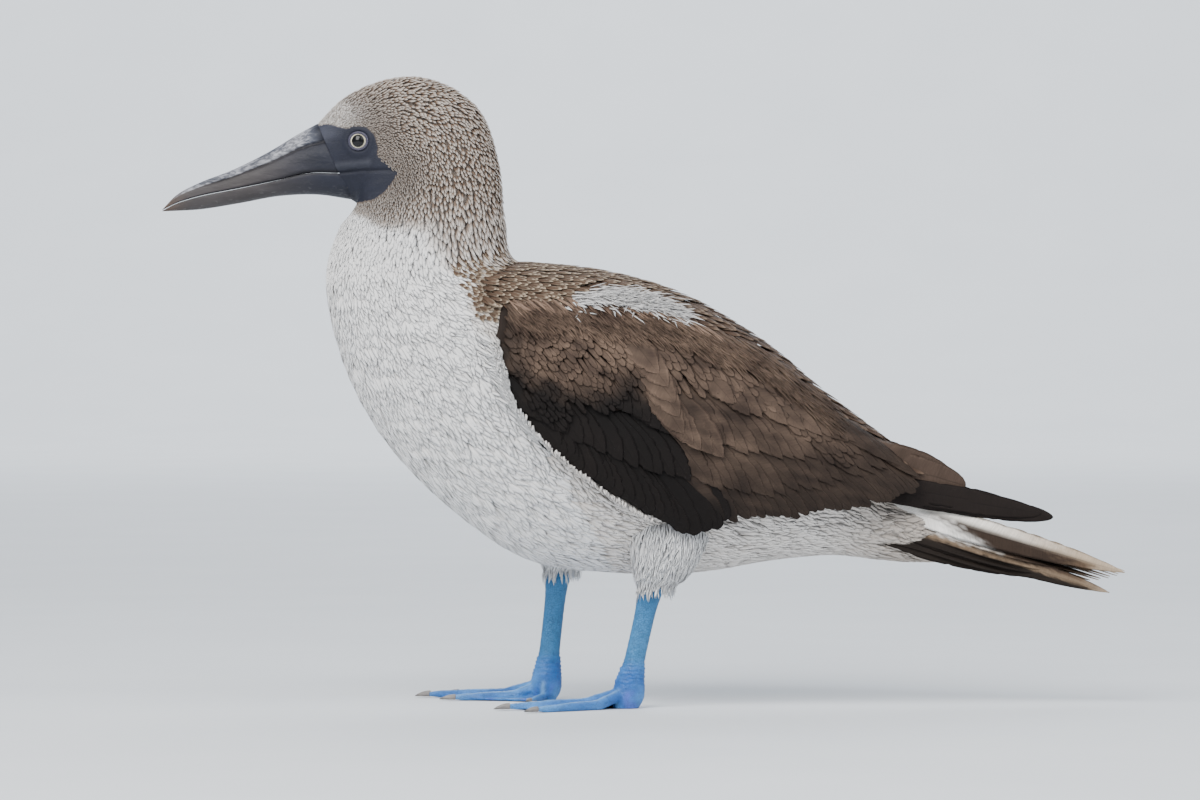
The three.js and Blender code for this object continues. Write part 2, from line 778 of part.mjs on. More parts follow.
// From the foot's own frame to its place under the leg
function placeFoot(made, sign) {
  const sided = sign === LEFT ? made : made.mirror([0, 1, 0]);
  const turned = sided.rotate([0, 0, 180 - sign * LEG.turnOut]);
  return turned.translate([LEG.ankleX[sign], sign * LEG.spread, 0]);
}

function makeFoot() {
  const heel = HEEL_SECTIONS.map(([x, z, halfX, halfY]) =>
    ellipseRing(point(x, 0, z), halfX, halfY, LEG_SIDES),
  );
  const webs = WEB.notches.map((notch, i) => web(TOES[i], TOES[i + 1], notch));
  const foot = join([solid(loft(heel)), ...TOES.map(toeTube), ...webs]);
  const block = { size: 400, height: 40 };
  const floor = new THREE.BoxGeometry(block.size, block.size, block.height);
  const above = floor.clone();
  floor.translate(0, 0, -block.height / 2);
  above.translate(0, 0, LEG.ankle + block.height / 2);
  return largest(foot.subtract(solid(floor)).subtract(solid(above)));
}

function makeClaw(toe) {
  const end = toePoint(toe, 1);
  const degrees = toe.angle * (1 - TOE.bend);
  const ahead = point(Math.cos(radians(degrees)), Math.sin(radians(degrees)), 0);
  const rings = CLAW_GIRTHS.map(([share, girth]) => {
    const middle = end.clone().addScaledVector(ahead, GAP + share * toe.claw);
    middle.setZ(mix(end.z + GAP, 0.9, share * share));
    const ring = acrossRing(middle, degrees, (toe.thick / 2) * girth, 8);
    return ring.map((p) => p.setZ(Math.max(p.z, GAP)));
  });
  return solid(loft(rings));
}

for (const [side, sign] of [
  ["left", LEFT],
  ["right", RIGHT],
]) {
  addNode("thigh_" + side, makeThigh(sign), COLOURS.breastFeather, 0.95);
  addNode("leg_" + side, makeShank(sign), COLOURS.footSkin, 0.6);
  addNode("foot_" + side, placeFoot(makeFoot(), sign), COLOURS.footSkin, 0.6);
  for (const toe of TOES)
    addNode("claw_" + toe.name + "_" + side, placeFoot(makeClaw(toe), sign), COLOURS.claw, 0.5);
}

export default model;
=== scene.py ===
# The looks of a standing blue-footed booby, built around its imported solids.
# Lengths are millimetres until a mesh is made, in metres. The bird faces -X, its left side faces -Y.
import math

import bpy
import numpy as np
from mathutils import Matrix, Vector
from mathutils.kdtree import KDTree


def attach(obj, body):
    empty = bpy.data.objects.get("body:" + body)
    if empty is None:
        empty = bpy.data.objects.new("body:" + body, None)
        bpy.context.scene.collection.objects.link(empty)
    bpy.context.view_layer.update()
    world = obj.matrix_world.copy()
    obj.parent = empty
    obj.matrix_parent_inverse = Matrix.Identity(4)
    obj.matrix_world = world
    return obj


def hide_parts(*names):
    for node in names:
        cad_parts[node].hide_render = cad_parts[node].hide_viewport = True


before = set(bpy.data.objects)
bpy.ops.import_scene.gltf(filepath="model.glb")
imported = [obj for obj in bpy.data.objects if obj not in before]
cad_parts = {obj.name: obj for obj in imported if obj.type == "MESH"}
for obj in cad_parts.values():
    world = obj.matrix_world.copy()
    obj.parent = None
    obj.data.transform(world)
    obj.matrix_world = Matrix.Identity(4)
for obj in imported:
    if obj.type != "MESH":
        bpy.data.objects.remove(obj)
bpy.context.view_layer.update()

MM = 0.001
LEFT, RIGHT = -1, 1
SIDES = {"left": LEFT, "right": RIGHT}
random = np.random.default_rng(41)

# The body from the face to the tail, as sections: a point of the back outline, the point across
# from it on the throat and belly, and the width: [back x, back z, front x, front z, width]
BODY = [
    [-211.5, 377, -190, 328, 33],
    [-195, 393, -186, 325, 38],
    [-173, 403.5, -186, 323, 45],
    [-150, 407, -188, 320, 51],
    [-125, 400, -192, 316, 55],
    [-106, 384, -196, 312, 58],
    [-95, 353, -200, 303, 61],
    [-91, 318, -204, 291, 68],
    [-86, 290, -206, 272, 80],
    [-62, 283, -202, 246, 100],
    [-24, 280, -190, 210, 120],
    [12, 269, -166, 169, 131],
    [46, 249, -126, 128, 132],
    [80, 221, -76, 94.5, 122],
    [108, 189, -19, 85.5, 106],
    [134, 161, 36, 86, 84],
    [153, 145, 86, 94, 60],
    [166, 134, 124, 97, 44],
    [180, 129, 152, 94, 38],
    [194, 124, 178, 92.5, 30],
    [206, 119, 198, 93, 20],
    [214, 115.5, 211, 97, 10],
]
SQUARENESS = 2.2  # of the sections: 2 is an ellipse

# The outer face of the folded wings, in rows of the same kind, from the shoulder to the wing tips
WING_COVER = [
    [-84, 288, -200, 226, 112],
    [-28, 282, -162, 162, 141],
    [24, 267, -112, 112, 148],
    [76, 237, -48, 80, 142],
    [114, 206, 20, 74, 122],
    [150, 178, 80, 80, 96],
    [183, 154, 134, 88, 68],
    [222, 138, 192, 94, 42],
    [268, 127, 254, 100, 24],
]
# Outlines of the folded wing in the side view, from the shoulder to the rear
WING_TOP_EDGE = [[-93, 244], [-88, 262], [-45, 263], [10, 255], [72, 232], [132, 186], [177, 154]]
WING_LOW_EDGE = [[-97, 236], [-84, 196], [-42, 152], [32, 110], [92, 118], [140, 126], [177, 137]]
# Degrees below the horizontal in which the wing's feathers point, from the shoulder to the rear
WING_LIE = [50, 54, 58, 54, 46, 38, 31]

# The bill from its root to its tip: [top x, top z, mouth x, mouth z, bottom x, bottom z, width]
BILL = [
    [-211.9, 377, -199, 345, -190.4, 328, 33],
    [-224, 370.5, -217, 345, -212, 331, 27],
    [-243, 359, -239, 340, -237, 330, 21],
    [-266, 347.5, -263, 335, -262, 325.5, 16.5],
    [-289, 338.5, -288, 330, -287, 321.5, 12.5],
    [-303, 331, -303, 325.5, -303, 320.5, 8.5],
    [-312.5, 321.5, -312.5, 320.8, -312.5, 320.2, 1.2],
]

# The bare skin of the face, the edge of the brown hood, both in the side view
BARE_FACE = [
    [-230, 385], [-214.8, 375], [-204.4, 376.4], [-192, 373.1], [-187.5, 375], [-179.7, 374.4],
    [-174.5, 369.5], [-171.9, 362], [-172.6, 356.2], [-167.4, 351.7], [-158.3, 345.8],
    [-162.8, 338.7], [-167.4, 332.8], [-173.6, 328.3], [-181, 326.6], [-196, 324], [-240, 310],
]
HOOD_EDGE = [
    [-215, 330], [-181, 320], [-170, 313], [-157, 313], [-143, 315], [-130, 302], [-121, 287],
    [-115, 272], [-106, 255], [-97, 236],
]
EYE = {"x": -184.5, "z": 365.5, "ball": 7.6, "shows": 2.35, "iris": 5.35, "pupil": 4.0}

LEG_SPREAD = 40
HIP_X = {LEFT: 6, RIGHT: -55}
ANKLE_X = {LEFT: -9, RIGHT: -63}
FEATHER_END = {LEFT: 78, RIGHT: 85}
TURN_OUT = 16
ANKLE = 19


# Numbers and curves


def unit(v):
    return v / np.maximum(np.linalg.norm(v, axis=-1, keepdims=True), 1e-12)


def dot(a, b):
    return np.sum(a * b, axis=-1)


def smooth(x, low, high):
    """0 at low, 1 at high and beyond, with a soft start and end"""
    t = np.clip((x - low) / (high - low), 0, 1)
    return t * t * (3 - 2 * t)


def blend(a, b, t):
    """From a to b, which are numbers or colours, by a share t"""
    t = np.asarray(t, float)
    a, b = np.asarray(a, float), np.asarray(b, float)
    if a.ndim and a.shape[-1:] == (3,) and t.shape[-1:] != (1,):
        t = t[..., None]
    return a * (1 - t) + b * t


def grid(first, second):
    return np.meshgrid(first, second, indexing="ij")


def full_turn(count):
    return np.linspace(0, 2 * math.pi, count, endpoint=False)


def pointing(degrees):
    """Headings in the side view, at angles below the horizontal towards the tail"""
    lie = np.radians(degrees)
    return np.stack([np.cos(lie), np.zeros(len(lie)), -np.sin(lie)], -1)


def vary(count, share, draw=random):
    """Random factors about 1, up to a share above or below it"""
    return 1 + share * (2 * draw.random(count) - 1)


def spline(points, place):
    """Places on a smooth curve through points; a place is a point's number, or between two"""
    points = np.asarray(points, float)
    padded = np.vstack([2 * points[0] - points[1], points, 2 * points[-1] - points[-2]])
    place = np.clip(place, 0, len(points) - 1)
    i = np.minimum(place.astype(int), len(points) - 2)
    f = (place - i)[..., None]
    p = [padded[i + k] for k in range(4)]
    gap = [np.sqrt(np.linalg.norm(p[k + 1] - p[k], axis=-1, keepdims=True)) + 1e-9 for k in range(3)]
    start = (p[1] - p[0]) / gap[0] - (p[2] - p[0]) / (gap[0] + gap[1]) + (p[2] - p[1]) / gap[1]
    end = (p[2] - p[1]) / gap[1] - (p[3] - p[1]) / (gap[1] + gap[2]) + (p[3] - p[2]) / gap[2]
    start, end = start * gap[1], end * gap[1]
    square = -3 * p[1] + 3 * p[2] - 2 * start - end
    cube = 2 * p[1] - 2 * p[2] + start + end
    return p[1] + f * (start + f * (square + f * cube))


def wave(p, size, seed):
    """A soft random value from -1 to 1 over space, with humps about as long as size"""
    draw = np.random.default_rng(seed)
    total = np.zeros(p.shape[:-1])
    for _ in range(6):
        way = unit(draw.normal(size=3)) * (2 * math.pi / size) * draw.uniform(0.6, 1.5)
        total += np.sin(p @ way + draw.uniform(0, 6.28))
    return total / 3.2


def edge_distance(p, line):
    """Distance in the side view from a line, positive on its left going along it"""
    line = np.asarray(line, float)
    q = p[..., [0, 2]]
    best = np.full(q.shape[:-1], 1e9)
    signed = np.zeros(q.shape[:-1])
    for a, b in zip(line[:-1], line[1:]):
        run = b - a
        t = np.clip(((q - a) @ run) / (run @ run), 0, 1)
        away = q - a - t[..., None] * run
        far = np.linalg.norm(away, axis=-1)
        side = np.sign(run[0] * away[..., 1] - run[1] * away[..., 0])
        nearer = far < best
        best = np.where(nearer, far, best)
        signed = np.where(nearer, far * side, signed)
    return signed


class Form:
    """A rounded form given by sections across it; a sixth number in a row is the section's y"""

    def __init__(self, rows):
        rows = [list(row) + [0] * (6 - len(row)) for row in rows]
        rows = np.array(rows, float)
        self.last = len(rows) - 1
        self.back = np.column_stack([rows[:, 0], rows[:, 4] / 2, rows[:, 1]])
        self.front = np.column_stack([rows[:, 2], rows[:, 5], rows[:, 3]])

    def section(self, row):
        back, front = spline(self.back, row), spline(self.front, row)
        half_width = back[..., 1].copy()
        back[..., 1] = front[..., 1]
        middle = (back + front) / 2
        return middle, back - middle, half_width

    def at(self, row, turn, out=0.0):
        """The place at a turn round from the back of a section, out from the surface"""
        middle, reach, half_width = self.section(row)
        size = np.linalg.norm(reach, axis=-1)
        power = 2 / SQUARENESS
        high = np.sign(np.cos(turn)) * np.abs(np.cos(turn)) ** power
        wide = np.sign(np.sin(turn)) * np.abs(np.sin(turn)) ** power
        place = middle + reach / size[..., None] * (high * (size + out))[..., None]
        place[..., 1] += wide * (half_width + out)
        return place

    def slopes(self, row, turn):
        step = 2e-3
        row = np.clip(row, step, self.last - step)
        along = self.at(row + step, turn) - self.at(row - step, turn)
        around = self.at(row, turn + step) - self.at(row, turn - step)
        return along / (2 * step), around / (2 * step)

    def locate(self, x, z, sign, first=0.0):
        """The rows and turns at places of the side view"""
        x, z = np.asarray(x, float), np.asarray(z, float)
        low, high = np.full(x.shape, float(first)), np.full(x.shape, float(self.last))
        for _ in range(18):
            row = (low + high) / 2
            middle, reach, _ = self.section(row)
            beyond = (x - middle[..., 0]) * reach[..., 2] > (z - middle[..., 2]) * reach[..., 0]
            low, high = np.where(beyond, row, low), np.where(beyond, high, row)
        share = (x - middle[..., 0]) * reach[..., 0] + (z - middle[..., 2]) * reach[..., 2]
        share = np.clip(share / dot(reach, reach), -0.9999, 0.9999)
        turn = np.arccos(np.sign(share) * np.abs(share) ** (SQUARENESS / 2))
        return row, sign * turn

    def side(self, x, z, first=0.0):
        """How far out the surface is at places of the side view"""
        return self.at(*self.locate(x, z, RIGHT, first))[..., 1]


body = Form(BODY)
wing_cover = Form(WING_COVER)


def step_changes(form, row, turn, heading=None, yaw=None):
    """How row and turn change for a millimetre along a heading, and for one across it.
    The heading is a direction in space, or a yaw from the way that the rows run."""
    along, around = form.slopes(row, turn)
    down = unit(along)
    skew = dot(around, down)
    aside = unit(around - skew[..., None] * down)
    if heading is None:
        a, b = np.cos(yaw), np.sin(yaw)
    else:
        a, b = dot(heading, down), dot(heading, aside)
        size = np.maximum(np.hypot(a, b), 1e-9)
        a, b = a / size, b / size
    wide = np.maximum(dot(around, aside), 0.5)
    length = np.maximum(np.linalg.norm(along, axis=-1), 1.5)

    def change(forward, sideways):
        turned = sideways / wide
        return np.stack([(forward - turned * skew) / length, turned], axis=-1)

    return change(a, b), change(-b, a)


def walk(form, row, turn, length, shares, heading=None, yaw=None):
    """Lines over a form from places on it: the row and turn at shares of each length, with
    their changes for a millimetre along and across. A negative length walks backwards."""
    place = np.stack([row, turn], axis=-1)
    stops, alongs, acrosses = [], [], []
    done = 0.0
    for share in shares:
        along, across = step_changes(form, place[:, 0], place[:, 1], heading, yaw)
        place = place + along * ((share - done) * length)[:, None]
        done = share
        stops.append(place)
        alongs.append(along)
        acrosses.append(across)
    return np.stack(stops, 1), np.stack(alongs, 1), np.stack(acrosses, 1)


# Meshes and pieces


def make_mesh(name, points, groups, flat=()):
    """A mesh in metres from points in millimetres and groups of faces, some of them flat"""
    mesh = bpy.data.meshes.new(name)
    points = np.asarray(points, float).reshape(-1, 3) * MM
    corners = np.concatenate([group.ravel() for group in groups])
    sizes = np.concatenate([np.full(len(group), group.shape[1]) for group in groups])
    even = np.concatenate([np.full(len(group), i not in flat) for i, group in enumerate(groups)])
    mesh.vertices.add(len(points))
    mesh.vertices.foreach_set("co", points.ravel())
    mesh.loops.add(len(corners))
    mesh.loops.foreach_set("vertex_index", corners.astype(np.int32))
    mesh.polygons.add(len(sizes))
    mesh.polygons.foreach_set("loop_start", (np.cumsum(sizes) - sizes).astype(np.int32))
    mesh.polygons.foreach_set("use_smooth", even)
    mesh.update(calc_edges=True)
    return mesh


def paint(mesh, name, values):
    """Keeps a value or a colour for each point of a mesh"""
    values = np.asarray(values, np.float32)
    if values.ndim == 1:
        mesh.attributes.new(name, "FLOAT", "POINT").data.foreach_set("value", values)
    else:
        full = np.column_stack([values, np.ones(len(values), np.float32)])
        mesh.attributes.new(name, "FLOAT_COLOR", "POINT").data.foreach_set("color", full.ravel())


def bake_map(mesh, places):
    """The map of a coat piece, from a place for each point"""
    corner = np.zeros(len(mesh.loops), np.int32)
    mesh.loops.foreach_get("vertex_index", corner)
    layer = mesh.uv_layers.new(name="OFBake")
    layer.data.foreach_set("uv", places[corner].astype(np.float32).ravel())


def add_object(name, data):
    thing = bpy.data.objects.new(name, data)
    bpy.context.scene.collection.objects.link(thing)
    return thing


def settled_mesh(thing):
    """A new mesh of an object with its modifiers applied"""
    graph = bpy.context.evaluated_depsgraph_get()
    return bpy.data.meshes.new_from_object(thing.evaluated_get(graph))


def add_piece(name, mesh, finish, stands_for=()):
    """A visible piece, which stands for solids of the frame where they are named"""
    thing = add_object(name, mesh)
    mesh.materials.append(finish.material)
    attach(thing, "root")
    if stands_for:
        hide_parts(*stands_for)
    return thing


def points_of(mesh):
    found = np.zeros(len(mesh.vertices) * 3, np.float32)
    mesh.vertices.foreach_get("co", found)
    return found.reshape(-1, 3).astype(float) / MM


def net_faces(rows, columns, closed=False):
    """Faces of a net of points, that may close round its columns"""
    i, j = grid(np.arange(rows - 1), np.arange(columns - (not closed)))
    k = (j + 1) % columns
    corners = [i * columns + j, (i + 1) * columns + j, (i + 1) * columns + k, i * columns + k]
    return np.stack(corners, -1).reshape(-1, 4)


def tube_mesh(name, rings):
    """A closed form over rings of points, [rings, points, 3]"""
    rows, columns = rings.shape[:2]
    ends = np.array([np.arange(columns), np.arange(columns)[::-1] + (rows - 1) * columns])
    return make_mesh(name, rings, [net_faces(rows, columns, True), ends])


def sheet_mesh(name, upper, lower):
    """A closed sheet between two nets of points"""
    rows, columns = upper.shape[:2]
    top = net_faces(rows, columns)
    under = top[:, ::-1] + rows * columns
    at = np.arange(rows * columns).reshape(rows, columns)
    loop = np.concatenate([at[:-1, 0], at[-1, :-1], at[:0:-1, -1], at[0, :0:-1]])
    after = np.roll(loop, -1)
    rim = np.stack([after, loop, loop + rows * columns, after + rows * columns], -1)
    points = np.concatenate([upper.reshape(-1, 3), lower.reshape(-1, 3)])
    return make_mesh(name, points, [top, under, rim])


def fuse(name, meshes, voxel, passes):
    """Closed forms melted into one skin"""
    parts = [add_object("part", mesh) for mesh in meshes]
    with bpy.context.temp_override(active_object=parts[0], selected_editable_objects=parts):
        bpy.ops.object.join()
    whole = parts[0]
    melt = whole.modifiers.new("melt", "REMESH")
    melt.mode = "VOXEL"
    melt.voxel_size = voxel * MM
    ease = whole.modifiers.new("ease", "SMOOTH")
    ease.iterations = passes
    ease.factor = 0.5
    made = settled_mesh(whole)
    made.name = name
    bpy.data.objects.remove(whole)
    made.polygons.foreach_set("use_smooth", np.ones(len(made.polygons), bool))
    return made


# The size of a feather's patch on its piece's map
MAP_PATCH = 0.003


class Plumage:
    """Feathers gathered into one mesh. Each is a closed thin vane of rings from root to tip."""

    def __init__(self):
        self.points, self.tints, self.marks, self.homes = [], [], [], []
        self.faces, self.unders, self.ends = [], [], []
        self.count = 0

    def add(self, points, tint, shares, columns, home, barb=None):
        """Points are [feathers, rings, columns, 3]; home is each feather's place on the map"""
        number, rings, wide = points.shape[:3]
        each = rings * wide
        start = self.count + np.arange(number)[:, None, None] * each
        net = net_faces(rings, wide)
        i = np.arange(rings - 1) * wide
        under = np.stack([i + wide - 1, i + 2 * wide - 1, i + wide, i], -1)
        caps = np.array([np.arange(wide), np.arange(each - wide, each)[::-1]])
        self.faces.append((net[None] + start).reshape(-1, 4))
        self.unders.append((under[None] + start).reshape(-1, 4))
        self.ends.append((caps[None] + start).reshape(-1, wide))
        shape = (number, rings, wide)
        along = np.broadcast_to(np.asarray(shares)[None, :, None], shape)
        across = np.broadcast_to(np.asarray(columns), shape)
        self.points.append(points.reshape(-1, 3))
        self.tints.append(np.broadcast_to(tint, shape + (3,)).reshape(-1, 3))
        barb = np.zeros(shape) if barb is None else np.broadcast_to(barb, shape)
        self.marks.append(np.stack([along, across, barb], -1).reshape(-1, 3))
        patch = np.stack([across * MAP_PATCH / 2, (along - 0.5) * MAP_PATCH], -1)
        self.homes.append((home[:, None, None, :] + patch).reshape(-1, 2))
        self.count += number * each

    def triangles(self):
        return sum(len(f) * (f.shape[1] - 2) for f in self.faces + self.unders + self.ends)

    def piece(self, name, finish, stands_for=()):
        groups = [np.concatenate(self.faces), np.concatenate(self.unders), *self.ends]
        mesh = make_mesh(name, np.concatenate(self.points), groups, flat=range(1, len(groups)))
        marks = np.concatenate(self.marks)
        paint(mesh, "tint", np.concatenate(self.tints))
        for i, mark in enumerate(("along", "across", "barb")):
            paint(mesh, mark, marks[:, i])
        bake_map(mesh, np.clip(np.concatenate(self.homes), 0.001, 0.999))
        print(name, self.triangles(), "triangles")
        return add_piece(name, mesh, finish, stands_for)


# Finishes


def ink(code):
    """A colour from its usual web code"""
    c = np.array([int(code[i : i + 2], 16) for i in (1, 3, 5)]) / 255
    return np.where(c <= 0.04045, c / 12.92, ((c + 0.055) / 1.055) ** 2.4)


SLATE = ink("#22242f")


class Wire:
    """The output of a node, so that the maths of a finish reads as sums"""

    def __init__(self, finish, socket):
        self.finish, self.socket = finish, socket

    def maths(self, operation, *values):
        return self.finish.node("Math", {"operation": operation}, dict(enumerate(values)))

    def __add__(self, other):
        return self.maths("ADD", self, other)

    def __sub__(self, other):
        return self.maths("SUBTRACT", self, other)

    def __rsub__(self, other):
        return self.maths("SUBTRACT", other, self)

    def __mul__(self, other):
        return self.maths("MULTIPLY", self, other)

    __radd__, __rmul__ = __add__, __mul__

    def sine(self):
        return self.maths("SINE", self)

    def size(self):
        return self.maths("ABSOLUTE", self)

    def between(self, low, high):
        """0 below low, 1 above high, smooth in between; or the other way round where high is lower"""
        ends = {"Value": self, "From Min": min(low, high), "From Max": max(low, high)}
        ends |= {"To Min": float(low > high), "To Max": float(low <= high)}
        return self.finish.node("MapRange", {"interpolation_type": "SMOOTHSTEP"}, ends)


class Finish:
    """A material, with the one method that adds its nodes"""

    def __init__(self, name, constants):
        self.material = bpy.data.materials.new(name)
        self.material.use_nodes = True
        self.tree = self.material.node_tree
        self.surface = self.tree.nodes["Principled BSDF"]
        for socket, value in constants.items():
            self.surface.inputs[socket].default_value = value
        self.where = self.node("TexCoord", output="Object")

    def feed(self, socket, value):
        if isinstance(value, Wire):
            self.tree.links.new(value.socket, socket)
        elif isinstance(value, np.ndarray):
            socket.default_value = [*value, 1]
        else:
            socket.default_value = value

    def node(self, kind, settings=None, sockets=None, output=0):
        made = self.tree.nodes.new("ShaderNode" + kind)
        for key, value in (settings or {}).items():
            setattr(made, key, value)
        for key, value in (sockets or {}).items():
            self.feed(made.inputs[key], value)
        return Wire(self, made.outputs[output])

    def attribute(self, name, output="Fac"):
        return self.node("Attribute", {"attribute_name": name}, output=output)

    def noise(self, scale, detail=3.0, stretch=None):
        place = self.where
        if stretch:
            place = self.node("VectorMath", {"operation": "MULTIPLY"}, {0: place, 1: stretch})
        return self.node("TexNoise", {}, {"Vector": place, "Scale": scale, "Detail": detail})

    def cells(self, scale, feature="F1"):
        return self.node("TexVoronoi", {"feature": feature}, {"Vector": self.where, "Scale": scale})

    def mix(self, a, b, factor, way="MIX"):
        settings = {"data_type": "RGBA", "blend_type": way}
        return self.node("Mix", settings, {0: factor, 6: a, 7: b}, output=2)

    def dim(self, colour, factor):
        return self.node("VectorMath", {"operation": "SCALE"}, {0: colour, "Scale": factor})

    def set(self, **sockets):
        for name, value in sockets.items():
            self.feed(self.surface.inputs[name.replace("_", " ").title()], value)
        return self

    def relief(self, height, distance):
        """Bumps of a height from 0 to 1, that deep in millimetres"""
        bump = self.node("Bump", {}, {"Strength": 1.0, "Distance": distance * MM, "Height": height})
        return self.set(normal=bump)


def plumage_finish(name, barb_depth, roughness=0.85):
    """Soft feathers: their own tint with fine barbs"""
    finish = Finish(name, {"Roughness": roughness, "Specular IOR Level": 0.25, "Sheen Weight": 0.15})
    across = finish.attribute("across")
    streaks = (across * 17.0 + finish.noise(700.0) * 5.0).sine() * 0.5 + 0.5
    grain = finish.noise(1600.0, 2.0)
    tint = finish.attribute("tint", "Color")
    finish.set(base_color=finish.dim(tint, streaks * 0.12 + grain * 0.3 + 0.8))
    return finish.relief(streaks * 0.6 + grain * 0.4, barb_depth)


def vane_finish(name, roughness=0.72):
    """Firm vanes: fine barbs that slant out from a shaft, in uneven streaks"""
    finish = Finish(name, {"Roughness": roughness, "Specular IOR Level": 0.18})
    across, barb = finish.attribute("across"), finish.attribute("barb")
    place = finish.node("CombineXYZ", {}, {"X": barb, "Y": across * 0.7})
    coarse = finish.node("TexNoise", {}, {"Vector": place, "Scale": 0.9, "Detail": 3.0})
    fine = finish.node("TexNoise", {}, {"Vector": place, "Scale": 4.0, "Detail": 4.0})
    patchy = finish.noise(75.0, 4.0)
    shaft = across.size().between(0.07, 0.02)
    tint = finish.attribute("tint", "Color")
    colour = finish.dim(tint, coarse * 0.6 + fine * 0.6 + patchy * 0.5 + 0.15)
    colour = finish.mix(colour, finish.dim(tint, 0.6), shaft * 0.6)
    finish.set(base_color=colour)
    return finish.relief(fine * 0.5 + coarse * 0.5 + shaft * 0.6, 0.14)


def skin_finish():
    """The skin under the feathers, and the bare slate skin of the face"""
    finish = Finish("body_skin", {"Specular IOR Level": 0.22})
    bare = finish.attribute("bare")
    grain = finish.noise(420.0, 4.0)
    pores = finish.cells(1500.0)
    wrinkle = finish.noise(230.0, 3.0, (0.35, 1.0, 1.9))
    mottle = finish.noise(85.0, 3.0)
    tint = finish.attribute("tint", "Color")
    colour = finish.dim(tint, grain * 0.35 + mottle * 0.5 + wrinkle * 0.3 + 0.42)
    finish.set(base_color=colour, roughness=bare * -0.3 + grain * 0.12 + 0.82)
    return finish.relief((pores * 0.35 + wrinkle * 0.9 + grain * 0.3) * (bare * 0.9 + 0.1), 0.35)


def bill_finish():
    """Horn: slate blue-grey, lighter along the ridge plate, browner towards the tip, with scuffed horn
    and painted highlight over the top
    """
    finish = Finish("bill_horn", {"Specular IOR Level": 0.28})
    along, high = finish.attribute("along"), finish.attribute("high")
    fibres = finish.noise(160.0, 5.0, (0.16, 1.0, 1.0))
    scuffs = finish.noise(620.0, 5.0, (0.4, 1.0, 1.0))
    mottle = finish.noise(70.0, 4.0, (0.5, 1.0, 1.0))
    side = finish.mix(SLATE, ink("#413d3d"), along.between(0.06, 0.5))
    side = finish.mix(side, ink("#5a4a40"), along.between(0.7, 0.97) * 0.8)
    grey = mottle.between(0.35, 0.65) * along.between(0.03, 0.25)
    plate = finish.mix(ink("#41444f"), ink("#7a7a7e"), grey)
    plate = finish.mix(SLATE, plate, along.between(0.0, 0.09))
    plate = finish.mix(plate, ink("#5c4c43"), along.between(0.7, 0.95) * 0.85)
    colour = finish.mix(side, plate, finish.attribute("plate"))
    seam = finish.attribute("seam")
    colour = finish.mix(colour, ink("#1f1d21"), seam * 0.75)
    # Whitish frost over the ridge plate, fading towards the tip, and paler scuffs high on the sides:
    # partly scuffed horn, partly painted highlight
    frost_and_highlight = scuffs.between(0.38, 0.6) * finish.attribute("plate") * mottle.between(0.2, 0.55)
    frost_and_highlight = frost_and_highlight * along.between(0.02, 0.16)
    colour = finish.mix(colour, ink("#bcbcc2"), frost_and_highlight * along.between(0.95, 0.6) * 0.62)
    pale = scuffs.between(0.55, 0.75) * high.between(0.2, 0.9)
    colour = finish.mix(colour, ink("#8c8a8c"), pale * 0.25)
    colour = finish.dim(colour, fibres * 0.9 + mottle * 0.6 + 0.25)
    finish.set(base_color=colour, roughness=scuffs * 0.35 + fibres * 0.15 + 0.32)
    return finish.relief(fibres * 0.8 + scuffs * 0.6, 0.6)


def eye_finish():
    """A pale ring round a wide pupil, under a clear cornea"""
    gloss = {"Roughness": 0.3, "Specular IOR Level": 0.15, "Coat Weight": 0.45, "Coat Roughness": 0.02}
    finish = Finish("eye", gloss)
    radius = finish.attribute("radius")
    rays = finish.noise(2600.0, 2.0)
    ring = finish.mix(ink("#f1ecda"), ink("#d3caa6"), rays.between(0.35, 0.7))
    ring = finish.mix(ring, ink("#8d8468"), radius.between(4.45, EYE["pupil"] - 0.05))
    colour = finish.mix(ring, ink("#050506"), radius.between(EYE["pupil"] + 0.16, EYE["pupil"] - 0.1))
    colour = finish.mix(colour, ink("#1b1c24"), radius.between(EYE["iris"] - 0.15, EYE["iris"] + 0.12))
    return finish.set(base_color=colour)


def lid_finish():
    """Beaded slate-violet skin round the eye"""
    finish = Finish("eyelid_skin", {"Roughness": 0.5, "Specular IOR Level": 0.45})
    beads = finish.cells(1300.0)
    mottle = finish.noise(300.0, 3.0)
    colour = finish.mix(ink("#2b2d3c"), ink("#4a4658"), mottle)
    finish.set(base_color=colour, roughness=mottle * 0.25 + 0.35)
    return finish.relief(beads, 0.25)


def foot_finish():
    """Bright blue leathery skin: small scales, pale ridges over the toes, violet in the webs"""
    finish = Finish("foot_skin", {"Roughness": 0.5, "Specular IOR Level": 0.45})
    web, fold = finish.attribute("web"), finish.attribute("fold")
    mottle = finish.noise(38.0, 4.0)
    fine = finish.noise(260.0, 4.0)
    scales = finish.cells(620.0)
    edges = finish.cells(620.0, "DISTANCE_TO_EDGE").between(0.0, 0.09)
    blue = finish.mix(ink("#2762ab"), ink("#4c8ccf"), mottle.between(0.35, 0.68))
    blue = finish.mix(blue, ink("#34749f"), finish.attribute("shank") * 0.8)
    violet = mottle.between(0.52, 0.36) * web
    blue = finish.mix(blue, ink("#5f6bd0"), violet * 0.6)
    blue = finish.mix(blue, ink("#7fb6e2"), fold * 0.5)
    colour = finish.dim(blue, fine * 0.7 + edges * 0.35 + scales * 0.12 + 0.38)
    finish.set(base_color=colour, roughness=fine * 0.25 + 0.36)
    return finish.relief(edges * 0.5 + fine * 0.6, 0.5)


def claw_finish():
    """Grey horn, darker towards the point"""
    finish = Finish("claw_horn", {"Roughness": 0.4, "Specular IOR Level": 0.5})
    fibres = finish.noise(500.0, 4.0, (0.4, 1.0, 1.0))
    colour = finish.mix(ink("#5c5b60"), ink("#a39c94"), fibres)
    colour = finish.mix(colour, ink("#2c2a2c"), finish.attribute("along").between(0.55, 1.0) * 0.6)
    finish.set(base_color=colour, roughness=fibres * 0.3 + 0.3)
    return finish.relief(fibres, 0.2)


# Markings, which the skin and the coat share

